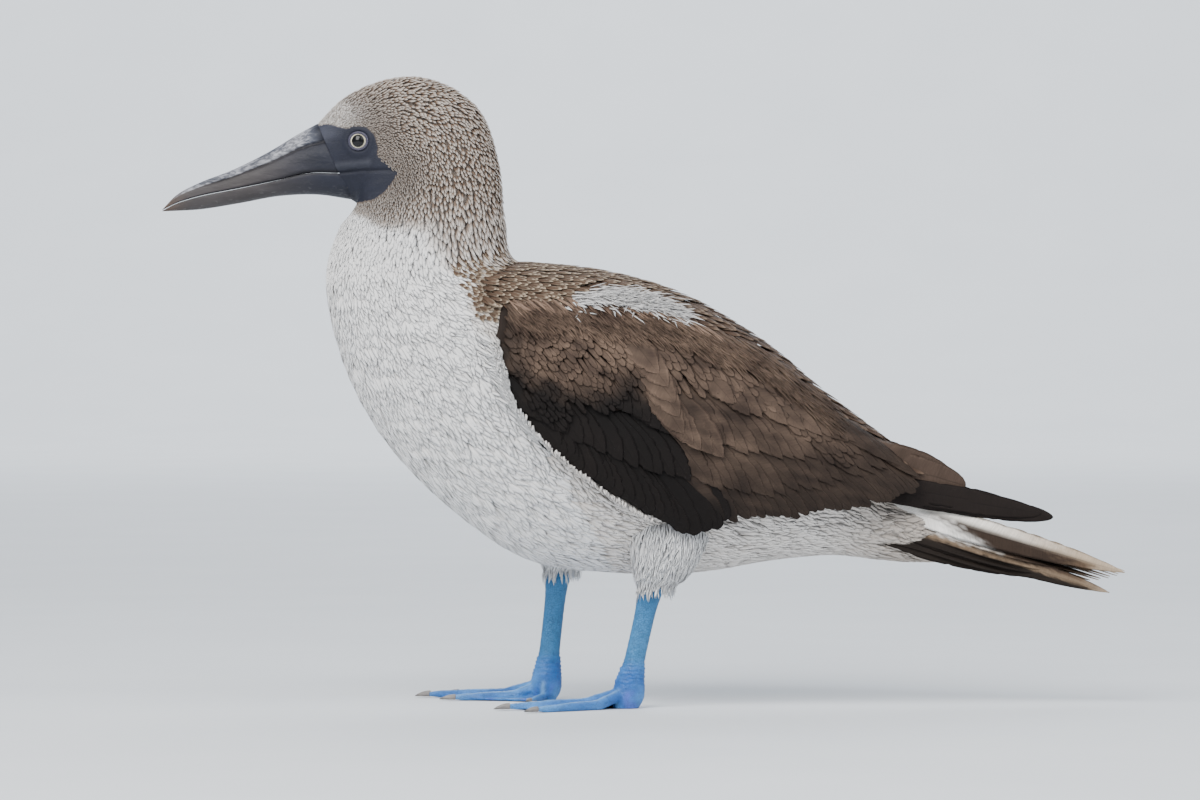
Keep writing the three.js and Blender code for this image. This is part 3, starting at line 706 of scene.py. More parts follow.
WHITE = {"tip": ink("#f3f1ef"), "base": ink("#dad6d3")}
CROWN = {"tip": ink("#dcd1c5"), "base": ink("#6c5645")}
CHEEK = {"tip": ink("#b4a99f"), "base": ink("#5f5146")}
NAPE = {"tip": ink("#ebe5df"), "base": ink("#97877a")}
FOREHEAD = {"tip": ink("#f0ece8"), "base": ink("#b7aca2")}
VENT = {"tip": ink("#bdb2a7"), "base": ink("#8e8175")}
MANTLE = {"tip": ink("#b8a690"), "base": ink("#503e31")}


def bare_distance(p):
    return edge_distance(p, BARE_FACE)


def body_markings(p):
    """Colours of the tips and roots of the feathers at places on the body"""
    x, z = p[..., 0], p[..., 2]
    soft = blend(2.5, 9.0, smooth(x, -165, -130))
    hood_far = edge_distance(p, HOOD_EDGE) + wave(p, 16, 3) * soft * 0.5
    hood = smooth(hood_far, -soft, soft)
    cheek = 1 - smooth(np.abs(bare_distance(p)), 6, 34)
    low_neck = smooth(z, 345, 285)
    forehead = np.exp(-(((x + 208) / 17) ** 2) - ((z - 381) / 9.5) ** 2)
    mantle = smooth(z - 0.35 * (x + 116), 292, 276) * smooth(x, -122, -104) * smooth(z, 248, 262)
    vent = smooth(x, 95, 165)
    found = {}
    for part in ("tip", "base"):
        colour = blend(WHITE[part], CROWN[part], hood)
        colour = blend(colour, CHEEK[part], hood * cheek)
        colour = blend(colour, NAPE[part], hood * low_neck)
        colour = blend(colour, FOREHEAD[part], np.clip(forehead * 2.2, 0, 1))
        colour = blend(colour, MANTLE[part], np.clip(mantle, 0, 1))
        found[part] = blend(colour, VENT[part], vent)
    return found["tip"], found["base"]


def over_wing(p, margin):
    """True at places that the folded wings and the back's feathers cover, deeper than a margin"""
    return (edge_distance(p, WING_LOW_EDGE + [[215, 150]]) > margin) & (p[..., 0] > margin - 97)


# The skin: one form from the face to the tail, with both thighs

# Sections of the thigh going down: [x past the hip, share of the legs' spread, height above the
# feathers' end, half length, half width], and those that only its fringe reaches
THIGH = [
    [12, 0.9, 50, 26, 14],
    [10, 0.97, 30, 25, 17],
    [7, 1, 13, 20, 16],
    [4, 1, 4, 15.5, 12.5],
    [2, 1, 0, 11.5, 9],
]
THIGH_FRINGE = [[1.5, 1, -5, 12, 10], [1, 1, -16, 10, 8]]

# Lines of the bare face in the side view: the fold above the corner of the mouth, the corner
# itself, the edge of the throat, and the line below which the face in front of the eye is greyer
FOLD_LINE = [[-207, 347.5], [-194, 349.5], [-178.4, 351]]
GAPE_LINE = [[-203, 344.3], [-198, 344.6], [-183, 346.3], [-161, 346.8]]
THROAT_LINE = [[-200, 334.5], [-184, 333.5], [-170, 338]]
LORE_LINE = [[-230, 352], [-172, 372]]
FOLD_SLATE, LORE_SLATE = ink("#34363f"), ink("#3b3d48")

# The skin's net: its rows over the face and over the rest, and its turns
FACE_ROWS, REST_ROWS = (0.0, 4.2, 150), (4.2, body.last, 260)
SKIN_TURNS = 280
THIGH_ROWS, THIGH_TURNS, THIGH_COAT = 24, 48, 2.5


def thigh_form(sign, fringe=()):
    """The thigh as a form, its sections going down"""
    rows = []
    for x, share, high, half_x, half_y in THIGH + list(fringe):
        middle, z = HIP_X[sign] + x, FEATHER_END[sign] + high
        rows.append([middle + half_x, z, middle - half_x, z, 2 * half_y, sign * LEG_SPREAD * share])
    return Form(rows)


def ridge(p, line, wide):
    """A soft ridge along a line of the side view"""
    return np.exp(-((edge_distance(p, line) / wide) ** 2))


def face_relief(p):
    """How far the bare face stands out: folds by the gape, and the rim and pit of the eye"""
    eye = np.hypot(p[..., 0] - EYE["x"], p[..., 2] - EYE["z"])
    relief = 0.75 * ridge(p, FOLD_LINE, 2.0) - 1.5 * ridge(p, GAPE_LINE, 0.9)
    relief = relief + 0.35 * ridge(p, THROAT_LINE, 2.2)
    relief += 0.9 * np.exp(-(((eye - 8.2) / 2.2) ** 2)) - 3.4 * smooth(eye, 6.0, 4.6)
    side = smooth(np.abs(p[..., 1]), 6, 11)
    return relief * side * smooth(bare_distance(p), 2.0, -1.5)


def coat_depth(p):
    """How far the skin lies inside the coat's face"""
    away = bare_distance(p)
    return smooth(away, -0.3, 2.0) * 0.7 + smooth(away, 2, 40) * 1.6 + smooth(p[..., 2], 300, 260) * 1.6


def make_skin(finish):
    """The skin, with both thighs joined on, in the colours of the feathers' roots and the face"""
    rows = np.concatenate([np.linspace(*FACE_ROWS), np.linspace(*REST_ROWS)[1:]])
    turns = np.linspace(-math.pi, math.pi, SKIN_TURNS, endpoint=False) + 0.01
    row, turn = grid(rows, turns)
    p = body.at(row, turn)
    along, around = body.slopes(row, turn)
    out = unit(np.cross(along, around))
    p = p + out * (face_relief(p) - coat_depth(p))[..., None]
    whole = add_object("skin_making", tube_mesh("skin", p))
    helpers = [whole]
    for sign in (LEFT, RIGHT):
        form = thigh_form(sign)
        row, turn = grid(np.linspace(0, form.last, THIGH_ROWS), full_turn(THIGH_TURNS))
        thigh = add_object("thigh_making", tube_mesh("thigh", form.at(row, turn, -THIGH_COAT)))
        helpers.append(thigh)
        join = whole.modifiers.new("thigh", "BOOLEAN")
        join.operation = "UNION"
        join.solver = "MANIFOLD"
        join.object = thigh
    mesh = settled_mesh(whole)
    for helper in helpers:
        bpy.data.objects.remove(helper)
    mesh.name = "skin"
    mesh.materials.clear()
    p = points_of(mesh)
    tip, base = body_markings(p)
    bare = smooth(bare_distance(p), 1.0, 0.1)
    fold = ridge(p, FOLD_LINE, 2.2) * bare
    slate = blend(SLATE, FOLD_SLATE, np.clip(fold, 0, 1))
    lore = bare * smooth(edge_distance(p, LORE_LINE), 2, 9) * smooth(p[:, 0], -190, -206)
    slate = blend(slate, LORE_SLATE, lore)
    paint(mesh, "tint", blend(blend(base, tip, 0.35), slate, bare))
    paint(mesh, "bare", bare)
    nodes = ("head", "neck", "torso", "thigh_left", "thigh_right")
    print("skin", len(mesh.polygons), "faces")
    return add_piece("skin", mesh, finish, nodes)


# The coat of small feathers


# The net on which roots are tried, and how many are tried for each that finds room
TRY_ROWS, TRY_TURNS, TRIES = 500, 400, 5


def scatter(form, rows, spacing, keep, seed):
    """Places over a form about a spacing apart, which may vary, where keep says so"""
    draw = np.random.default_rng(seed)
    row, turn = grid(np.linspace(*rows, TRY_ROWS), np.linspace(-math.pi, math.pi, TRY_TURNS))
    row, turn = row.ravel(), turn.ravel()
    row_step, turn_step = (rows[1] - rows[0]) / (TRY_ROWS - 1), 2 * math.pi / (TRY_TURNS - 1)
    p = form.at(row, turn)
    wanted = keep(p, row, turn)
    row, turn, p = row[wanted], turn[wanted], p[wanted]
    along, around = form.slopes(row, turn)
    share = np.linalg.norm(np.cross(along, around), axis=-1) / spacing(p) ** 2
    number = int(share.sum() * row_step * turn_step * TRIES)
    pick = draw.choice(len(row), number, p=share / share.sum())
    row = np.clip(row[pick] + draw.uniform(-0.5, 0.5, number) * row_step, *rows)
    turn = turn[pick] + draw.uniform(-0.5, 0.5, number) * turn_step
    p = form.at(row, turn)
    apart = spacing(p)
    tree = KDTree(number)
    for i in range(number):
        tree.insert(p[i], i)
    tree.balance()
    free = np.ones(number, bool)
    chosen = []
    for i in range(number):
        if free[i]:
            chosen.append(i)
            for _, other, _ in tree.find_range(p[i], apart[i]):
                free[other] = False
    return row[chosen], turn[chosen], p[chosen], apart[chosen]


def body_map(form, row, turn):
    """Each place on an unwrap of the form's own shape"""
    u = (turn / (2 * math.pi) + 0.5) % 1.0
    return np.stack([0.02 + 0.96 * u, 0.02 + 0.96 * row / form.last], -1)


def grow(plumage, form, row, turn, yaw, length, width, lifts, colours, outline, columns, camber,
         heading=None, slant=0.0, roll=None, ramp=(0.35, 0.8), home=None, fringe=0.0, ragged=0.0):
    """Adds feathers from roots on a form. The outline gives shares of the length with the breadth
    there, columns the lines of points from edge to edge. lifts are how far out the root and the
    tip are, colours those of the tips and roots or a function of places. The rest is how much the
    vane arches and swings, tilts and slants, and how its pale fringe and worn edge look."""
    shares = np.array([s for s, _ in outline])
    breadth = np.array([b for _, b in outline])
    columns = np.asarray(columns, float)
    stops, alongs, acrosses = walk(form, row, turn, length, shares, heading, yaw)
    half = (width[:, None] / 2 * breadth)[:, :, None] * columns
    worn = np.abs(columns) * smooth(shares, 0.2, 0.6)[:, None]
    half = half * (1 - ragged * random.random(half.shape) ** 3 * worn)
    ahead = slant * np.abs(half)
    place = stops[:, :, None] + acrosses[:, :, None] * half[..., None]
    place = place + alongs[:, :, None] * ahead[..., None]
    rise = smooth(shares, 0, 1) * 0.35 + shares * 0.65
    out = lifts[0][:, None] + (lifts[1] - lifts[0])[:, None] * rise
    arch = camber * (width[:, None] / 2 * breadth)[:, :, None] * (1 - columns**2)
    out = out[:, :, None] + arch
    if roll is not None:
        out = out + roll[:, None, None] * half
    points = form.at(place[..., 0], place[..., 1], out)
    if callable(colours):
        tint = colours(points, shares, columns)
    else:
        edge = fringe * np.abs(columns) ** 4 * smooth(shares, 0.3, 0.7)[:, None]
        t = np.maximum(smooth(shares, *ramp)[:, None], edge)[None, ..., None]
        tint = colours[1][:, None, None] * (1 - t) + colours[0][:, None, None] * t
    barb = shares[None, :, None] * length[:, None, None] + 31.7 * random.random(len(row))[:, None, None]
    home = body_map(form, row, turn) if home is None else home
    plumage.add(points, tint, shares, columns, home, barb)


# Outlines of feathers, as shares of the length with the breadth there, and lines across them
LANCE = [(0, 0.5), (0.4, 1), (0.75, 0.8), (1, 0.12)]
WISP = [(0, 0.8), (0.45, 1), (0.8, 0.6), (1, 0.08)]
SCALE = [(0, 0.5), (0.35, 0.92), (0.6, 1), (0.76, 0.9), (0.88, 0.64), (0.95, 0.38), (1, 0.1)]
LEAF = [(0, 0.5), (0.35, 0.95), (0.6, 1), (0.78, 0.82), (0.91, 0.48), (1, 0.1)]
THREE_LINES = (-1, 0, 1)
FIVE_LINES = (-1, -0.55, 0, 0.55, 1)
ELEVEN_LINES = np.linspace(-1, 1, 11)

# Rows of the body that each piece of the coat covers
HEAD_ZONES = {"head_coat": (0.0, 3.9), "nape_coat": (3.9, 7.9)}
SOFT_ZONES = {
    "breast_coat": (7.9, 9.9),
    "flank_coat": (9.9, 12.0),
    "belly_coat": (12.0, 15.2),
    "vent_coat": (15.2, 21.4),
}
COVERED = 14  # how far the body's own feathers reach under the wing
THIGH_TUFTS = {
    "rows": (0.3, 3.7),
    "spacing": 1.35,
    "length": (14, 7.5),
    "width": 1.7,
    "white": "#f4f3f2",
}


def feathered(p, row, turn):
    return bare_distance(p) > -0.5


def head_spacing(p):
    """The smallest by the bare face, wider apart down the nape"""
    nape = smooth(p[..., 2], 350, 300) * smooth(p[..., 0], -165, -120)
    return 0.8 + 0.9 * smooth(np.abs(bare_distance(p)), 1, 34) + 0.75 * nape


def make_head_coat(finish):
    """Short narrow feathers with pale tips, smallest by the face, longest on the nape"""
    for number, (name, rows) in enumerate(HEAD_ZONES.items()):
        row, turn, p, apart = scatter(body, rows, head_spacing, feathered, 11 + number)
        count = len(row)
        hood = smooth(edge_distance(p, HOOD_EDGE), -6, 6)
        length = apart * (2.9 + 0.9 * smooth(p[:, 2], 360, 300)) * vary(count, 0.2)
        width = apart * (1.65 - 0.4 * hood) * vary(count, 0.14)
        tip, base = body_markings(p)
        shade = vary(count, 0.1)[:, None]
        lift = (0.12 + 0.34 * hood) * apart * vary(count, 0.5)
        sunk = lift - apart * (0.45 + 0.5 * hood)
        base = blend(blend(base, tip, 0.5), base, hood)
        plumage = Plumage()
        grow(plumage, body, row, turn, random.normal(0, 0.13, count), length, width, (sunk, lift),
             (tip * shade, base * shade), LANCE, THREE_LINES, 0.4, ramp=(0.45, 0.95))
        plumage.piece(name, finish)


def make_soft_coat(finish):
    """Fine white feathers over the breast, belly and rump, in low mounds like loose down"""
    def size(p):
        return 1.7 + 0.35 * smooth(p[..., 2], 290, 150)

    def shown(p, row, turn):
        return ~over_wing(p, COVERED)

    for number, (name, rows) in enumerate(SOFT_ZONES.items()):
        row, turn, p, apart = scatter(body, rows, size, shown, 31 + number)
        count = len(row)
        length = apart * 5.8 * vary(count, 0.3)
        width = apart * 2.05 * vary(count, 0.3)
        tip, base = body_markings(p)
        mound = 0.5 * wave(p * [1, 1, 1.8], 22, 21) + 0.5 * wave(p * [1, 1, 1.5], 10, 22)
        # Feathers on the raised mounds are a little lighter: painted light on the mounds
        shade = (vary(count, 0.03) * (1 + 0.05 * mound))[:, None]
        lift = apart * np.clip(0.12 + 0.22 * mound + 0.08 * random.random(count), -0.1, 0.5)
        yaw = 0.24 * wave(p, 15, 23) + random.normal(0, 0.1, count)
        plumage = Plumage()
        grow(plumage, body, row, turn, yaw, length, width, (lift - 0.45 * apart, lift),
             (tip * shade, blend(base, tip, 0.6) * shade), WISP, THREE_LINES, 0.1, ramp=(0.2, 0.75))
        plumage.piece(name, finish)


def make_thigh_coats(finish):
    """Loose white tufts that hang over the tops of the legs"""
    def size(p):
        return np.full(p.shape[:-1], THIGH_TUFTS["spacing"])

    def everywhere(p, row, turn):
        return row > 0

    for name, sign in SIDES.items():
        form = thigh_form(sign, THIGH_FRINGE)
        row, turn, _, _ = scatter(form, THIGH_TUFTS["rows"], size, everywhere, 51 + sign)
        count = len(row)
        length = blend(*THIGH_TUFTS["length"], smooth(row, 2.4, 3.7)) * vary(count, 0.4)
        tip = np.tile(ink(THIGH_TUFTS["white"]), (count, 1)) * vary(count, 0.04)[:, None]
        base = tip * 0.93
        plumage = Plumage()
        lift = 0.3 + 1.6 * random.random(count) ** 2
        yaw = random.normal(0, 0.22, count)
        width = THIGH_TUFTS["width"] * vary(count, 0.35)
        grow(plumage, form, row, turn, yaw, length, width, (np.full(count, -1.2), lift), (tip, base),
             WISP, THREE_LINES, 0.15)
        plumage.piece(f"thigh_coat_{name}", finish)


# Wings


def wing_place(u, v):
    """Places of the side view on the wing: u from the shoulder to the rear, v from top to low edge"""
    place = u * (len(WING_TOP_EDGE) - 1)
    top, low = spline(WING_TOP_EDGE, place), spline(WING_LOW_EDGE, place)
    return blend(top, low, np.asarray(v)[..., None])


def wing_roots(tips, sign, length, heading, steps):
    """The roots on a wing of feathers whose tips are at places of the side view"""
    row, turn = wing_cover.locate(tips[:, 0], tips[:, 1], sign)
    stops, _, _ = walk(wing_cover, row, turn, length, steps, heading)
    return stops[:, -1, 0], stops[:, -1, 1]


# The dark sheet under the vanes: where it starts and ends along and down the wing, with its
# number of rows, and how far its two faces lie from the wing's face, in millimetres
WING_BED = {
    "along": (0.01, 0.87, 40),
    "down": (0, 0.86, 24),
    "outer": -2.2,
    "inner": -4.0,
    "brown": "#241b16",
}


def make_wing_bed(name, sign, finish):
    """The arm and the feathers' roots, a dark sheet under the vanes"""
    place = wing_place(*grid(np.linspace(*WING_BED["along"]), np.linspace(*WING_BED["down"])))
    row, turn = wing_cover.locate(place[..., 0], place[..., 1], sign)
    outer = wing_cover.at(row, turn, WING_BED["outer"])
    inner = wing_cover.at(row, turn, WING_BED["inner"])
    if sign == LEFT:
        outer, inner = outer[::-1], inner[::-1]
    mesh = sheet_mesh(f"wing_bed_{name}", outer, inner)
    paint(mesh, "tint", np.tile(ink(WING_BED["brown"]), (len(mesh.vertices), 1)))
    paint(mesh, "across", np.full(len(mesh.vertices), 0.5))
    paint(mesh, "barb", points_of(mesh)[:, 0])
    return add_piece(f"wing_bed_{name}", mesh, finish, [f"wing_{name}"])


def wing_heading(x, draw, spread=0.04):
    """The headings of the wing's feathers whose tips are that far along the bird"""
    shoulder, rear = WING_LOW_EDGE[0][0], WING_LOW_EDGE[-1][0]
    degrees = np.interp(x, np.linspace(shoulder, rear, len(WING_LIE)), WING_LIE)
    return pointing(degrees * vary(len(x), spread, draw))


def long_outline(rings, shoulder, tip, point=0.5):
    """A long vane, widest past its shoulder, narrowing to its tip to a rounder or finer point"""
    s = np.concatenate([np.linspace(0, 0.8, rings - 8)[:-1], 1 - 0.2 * np.linspace(1, 0, 9) ** 1.6])
    end = np.clip((s - tip) / (1 - tip), 0, 1)
    breadth = blend(0.55, 1, smooth(s, 0, shoulder)) * np.maximum(1 - end**2.2, 0) ** point
    return [(a, max(b, 0.04)) for a, b in zip(s, breadth)]


# How steeply each vane of the wing tilts over its neighbour
WING_ROLL = 0.05

# Tiers of the wing from the innermost out. Tips run in a row along a line of the side view, and
# length and width go from its first vane to its last, lift from a vane's root to its tip. Rear
# tiers have the rear wing's markings, a point of 1 is fine and of 0.5 round, a rim is pale.
TIERS = [
    {"tips": [[50, 116], [92, 118], [140, 126], [160, 131], [177, 138]], "count": 34,
     "length": (86, 92), "width": (16, 13), "lift": (-2.0, 0.3), "rear": 1, "point": 0.55},
    {"tips": [[-56, 169], [-40, 155], [-12, 135], [14, 119], [34, 110], [52, 117]], "count": 22,
     "length": (46, 68), "width": (17, 18), "lift": (-1.8, 0.3), "rear": 0, "point": 0.55},
    {"tips": [[-73, 192], [-60, 184], [-38, 172], [-4, 156], [30, 146]], "count": 16,
     "length": (32, 54), "width": (13, 17), "lift": (-1.4, 0.7), "rear": 0},
    {"tips": [[44, 140], [70, 134], [104, 136], [134, 144], [160, 152]], "count": 18,
     "length": (66, 78), "width": (16, 14), "lift": (-1.2, 1.0), "rear": 1},
    {"tips": [[-80, 216], [-66, 210], [-40, 200], [-8, 190], [16, 178]], "count": 17,
     "length": (24, 44), "width": (11, 15), "lift": (-1.0, 1.2), "rear": 0},
    {"tips": [[52, 168], [78, 160], [104, 158], [132, 160], [156, 160]], "count": 15,
     "length": (60, 66), "width": (16, 14), "lift": (-0.8, 1.5), "rear": 1},
    {"tips": [[8, 217], [18, 198], [24, 178], [36, 164], [50, 160]], "count": 9,
     "length": (54, 62), "width": (19, 19), "lift": (-0.4, 3.4), "rear": 1, "rim": 1.4},
    {"tips": [[56, 192], [84, 182], [112, 174], [138, 167], [163, 153], [177, 143]], "count": 13,
     "length": (50, 84), "width": (16, 14), "lift": (0.0, 2.2), "rear": 1},
]

# Above this line the front part of the wing is brown, below it nearly black: partly its own dark
# feathers, partly painted shadow under the rear panel's edge
DARK_AND_SHADOW_EDGE = [[-91, 233], [-69, 214], [-37, 207], [-8, 213], [8, 205], [40, 205]]


def wing_markings(p, rear):
    """Brown, worn in places, darkening downwards and most of all on the front part of the wing, where
    the near black is partly painted shadow under the rear panel's edge
    """
    high = edge_distance(p, WING_LOW_EDGE)
    worn = np.clip(0.42 + 0.3 * wave(p, 36, 8) + 0.22 * wave(p, 10, 9), 0, 1)
    brown = blend(ink("#3f322a"), ink("#6d5a4c"), worn)
    # front: the nearly black front and bend of the wing, partly its own dark feathers, partly painted
    # shadow under the rear panel's edge
    front = smooth(-edge_distance(p, DARK_AND_SHADOW_EDGE) + 5 * wave(p, 18, 13), -16, 16)
    front = np.maximum(front, 0.7 * (1 - smooth(p[..., 0] + 0.35 * p[..., 2], -22, 18)))
    behind = 0.3 + 0.5 * (1 - smooth(high, 2, 75)) - 0.25 * smooth(high, 60, 110)
    behind = behind + (1 - behind) * (1 - smooth(p[..., 0], 42, 76)) * (1 - smooth(high, 12, 36))
    return blend(brown, ink("#120d0b"), front * (1 - rear) + behind * rear)


def make_wing_tiers(name, sign, finish):
    """The vanes of the folded wing, tier over tier"""
    draw = np.random.default_rng(70 + sign)
    plumage = Plumage()
    for number, tier in enumerate(TIERS):
        outline = long_outline(26, 0.5, 0.45, tier.get("point", 0.95))
        count = tier["count"]
        t = np.linspace(0, 1, count)
        tips = spline(tier["tips"], t * (len(tier["tips"]) - 1)) + draw.normal(0, 1.1, (count, 2))
        heading = wing_heading(tips[:, 0], draw)
        length = np.interp(t, [0, 1], tier["length"]) * vary(count, 0.06, draw)
        width = np.interp(t, [0, 1], tier["width"]) * vary(count, 0.1, draw)
        row, turn = wing_roots(tips, sign, length, heading, [-0.25, -0.5, -0.75, -1.0])
        shade = vary(count, 0.1, draw)[:, None, None, None]

        def tint(points, shares, columns):
            # deep darkens each vane towards its root, a painted shade of the vanes lying over it, and
            # rim makes its edges paler
            deep = blend(0.6, 1.05, smooth(shares, 0.2, 0.9))[:, None]
            deep = deep * (1 + tier.get("rim", 0.3) * np.abs(columns) ** 8)
            return wing_markings(points, tier["rear"]) * deep[None, ..., None] * shade

        home = 0.05 + 0.9 * np.stack([t, np.full(count, number / len(TIERS))], -1)
        lifts = [np.full(count, value) for value in tier["lift"]]
        roll = np.full(count, WING_ROLL * -sign)
        grow(plumage, wing_cover, row, turn, None, length, width, lifts, tint, outline, ELEVEN_LINES,
             0.03, heading=heading, slant=0.6, roll=roll, home=home, ragged=0.22)
    plumage.piece(f"wing_vanes_{name}", finish)


# How far down from the wing's top the small coverts reach, at places along the bird
COVERT_DEPTH = [-90, -59, -27, 2, 40], [85, 78, 60, 36, 28]


def make_small_coverts(name, sign, finish):
    """The small feathers over the upper wing, like low scales at the bend, longer and worn behind"""
    draw = np.random.default_rng(90 + sign)

    def size(p):
        return 2.5 + 1.5 * smooth(p[..., 0], -90, 40)

    def shown(p, row, turn):
        inside = edge_distance(p, WING_LOW_EDGE)
        top = -edge_distance(p, WING_TOP_EDGE[1:])
        limit = np.interp(p[..., 0], *COVERT_DEPTH) + 6 * wave(p, 30, 12)
        on_wing = (turn * sign > 0) & (p[..., 0] > -90) & (p[..., 0] < 122)
        return on_wing & (top > 1) & (top < limit) & (inside > 8)

    row, turn, p, apart = scatter(wing_cover, (0.05, 6.5), size, shown, 92 + sign)
    count = len(row)
    heading = wing_heading(p[:, 0], draw, 0.14)
    length = apart * 3.6 * vary(count, 0.3, draw)
    width = apart * 1.35 * vary(count, 0.2, draw)
    shade = vary(count, 0.13, draw)[:, None, None, None]
    speck = (1 + 0.25 * (draw.random(count) < 0.1))[:, None, None, None]

    def tint(points, shares, columns):
        # deep darkens each covert towards its root, a painted shade of the coverts over it; edge makes
        # its tip and sides paler
        edge = np.maximum(smooth(shares, 0.8, 1)[:, None], 0.7 * np.abs(columns) ** 5)
        deep = blend(0.85, 1, smooth(shares, 0.2, 0.7))[:, None] * (1 + 0.2 * edge)
        brown = wing_markings(points, smooth(points[..., 0], 0, 20))
        return brown * deep[None, ..., None] * shade * speck

    plumage = Plumage()
    lifts = (np.full(count, 0.6), 1.7 + 0.5 * draw.random(count))
    grow(plumage, wing_cover, row, turn, None, length, width, lifts, tint, SCALE, FIVE_LINES, 0.04,
         heading=heading, slant=0.5, roll=draw.normal(0, 0.03, count), ragged=0.3)
    plumage.piece(f"small_coverts_{name}", finish)


# Loose plumes on each side: over the top of the wing, in the white patch, over the wing's front
FRINGE_PLUMES, PATCH_PLUMES, LAP_PLUMES = 1500, 1150, 1200


def make_wing_fringe(name, sign, finish):
    """Hair-like brown plumes that hang over the top of the wing"""
    draw = np.random.default_rng(95 + sign)
    count = FRINGE_PLUMES
    x = draw.uniform(-88, 120, count)
    depth = draw.uniform(-1, 16, count)
    z = np.interp(x, *np.array(WING_TOP_EDGE[1:]).T) - depth
    row, turn = wing_cover.locate(x, z, sign)
    heading = pointing(draw.normal(52, 8, count))
    length = draw.uniform(9, 17, count)
    top_edge = 1 + 1.3 * np.exp(-(depth**2)) * (x < 40)
    shade = (vary(count, 0.22, draw) * top_edge)[:, None, None, None]

    def tint(points, shares, columns):
        paler = blend(1.0, 1.6, shares[:, None])[None, ..., None]
        return wing_markings(points, smooth(points[..., 0], 0, 20)) * shade * paler

    plumage = Plumage()
    lifts = (np.full(count, 1.6), 2.4 + 0.8 * draw.random(count))
    width = 1.3 * vary(count, 0.3, draw)
    grow(plumage, wing_cover, row, turn, None, length, width, lifts, tint, WISP, THREE_LINES, 0.2,
         heading=heading)
    plumage.piece(f"wing_fringe_{name}", finish)


def make_mantle(finish):
    """Brown feathers with thin pale fringes over the back, growing towards the rump"""
    def size(p):
        return 2.7 + 2.7 * smooth(p[..., 0], -110, 110)

    def on_back(p, row, turn):
        return (edge_distance(p, WING_TOP_EDGE[1:]) > -3) & (p[..., 0] > -105) & (p[..., 0] < 165)

    def on_neck(p, row, turn):
        below_nape = p[..., 2] < 295 + 0.35 * (p[..., 0] + 116)
        return (edge_distance(p, HOOD_EDGE) > -4) & below_nape & (p[..., 2] > 253)

    plumage = Plumage()
    grounds = ((body, (7.2, 10.5), on_neck, 101), (wing_cover, (0.0, 6.6), on_back, 102))
    for form, rows, keep, seed in grounds:
        row, turn, p, apart = scatter(form, rows, size, keep, seed)
        count = len(row)
        length = apart * 3.7 * vary(count, 0.24)
        width = apart * 1.3 * vary(count, 0.18)
        rear = smooth(p[:, 0], -60, 60)
        brown = blend(MANTLE["base"], ink("#47372d"), rear) * vary(count, 0.2)[:, None]
        fringe = blend(MANTLE["tip"], ink("#6e5b4c"), rear) * vary(count, 0.2)[:, None]
        lift = 0.04 * apart + 0.75 + 0.25 * random.random(count)
        yaw = random.normal(0, 0.12, count)
        grow(plumage, form, row, turn, yaw, length, width, (-0.3 * apart, lift), (fringe, brown), LEAF,
             FIVE_LINES, 0.05, slant=0.5, ramp=(0.8, 0.97), fringe=0.7, ragged=0.3)
    plumage.piece("mantle_coat", finish)


# The middle of the white patch in the side view: x, then z
PATCH_LINE = [-52, -25, 5, 28], [263, 268, 263, 253]


def make_white_patch(finish):
    """Loose white down between the back and the wing"""
    plumage = Plumage()
    for sign in (LEFT, RIGHT):
        count = PATCH_PLUMES
        x = random.triangular(-52, -6, 28, count)
        z = np.interp(x, *PATCH_LINE) + random.normal(-2, 2.7, count)
        row, turn = wing_cover.locate(x, z, sign)
        heading = pointing(random.normal(38, 30, count))
        tip = np.tile(ink("#f2efec"), (count, 1)) * vary(count, 0.12)[:, None]
        long = 5 + 10 * random.random(count) ** 2
        lifts = (1.4 * random.random(count), 1.8 + 4.4 * random.random(count) ** 1.5)
        width = 1.25 * vary(count, 0.4)
        grow(plumage, wing_cover, row, turn, None, long, width, lifts, (tip, tip * 0.8), WISP,
             THREE_LINES, 0.15, heading=heading)
    plumage.piece("white_patch", finish)


def make_wing_lap(finish):
    """Feathers of the breast and flank that lie over the front edge of the wing"""
    plumage = Plumage()
    for sign in (LEFT, RIGHT):
        count = LAP_PLUMES
        u = random.uniform(0, 0.44, count)
        heading = pointing(random.normal(52, 13, count))
        deep = random.uniform(-8, 2, count) + 5 * (1 - smooth(u, 0.08, 0.25)) * random.random(count)
        tip = wing_place(u, np.ones(count)) + deep[:, None] * [0.8, 0.1]
        length = random.uniform(8, 13, count)
        row, turn = wing_roots(tip, sign, length, heading, [-0.5, -1.0])
        root = wing_cover.at(row, turn)
        gap = np.abs(root[:, 1]) - body.side(root[:, 0], root[:, 2], 7.0)
        tint, base = body_markings(root)
        width = 2.5 * vary(count, 0.35)
        lift = blend(0.6 - gap, 1.6 + 1.6 * random.random(count), smooth(deep, -7, 0))
        colours = (tint * vary(count, 0.05)[:, None], blend(base, tint, 0.6))
        grow(plumage, wing_cover, row, turn, None, length, width, (-gap - 0.8, lift), colours, WISP,
             THREE_LINES, 0.12, heading=heading)
    plumage.piece("wing_lap", finish)


# The long vanes of the hand, innermost first, and the shorter ones above: [root x, root z, tip x,
# tip z, width]
HAND = [
    [122, 144, 266, 121.5, 15],
    [120, 146, 258, 124, 15],
    [118, 149, 243, 128, 15],
    [130, 166, 209, 142, 20],
    [124, 172, 200, 148, 20],
]
LONG_VANES = 3


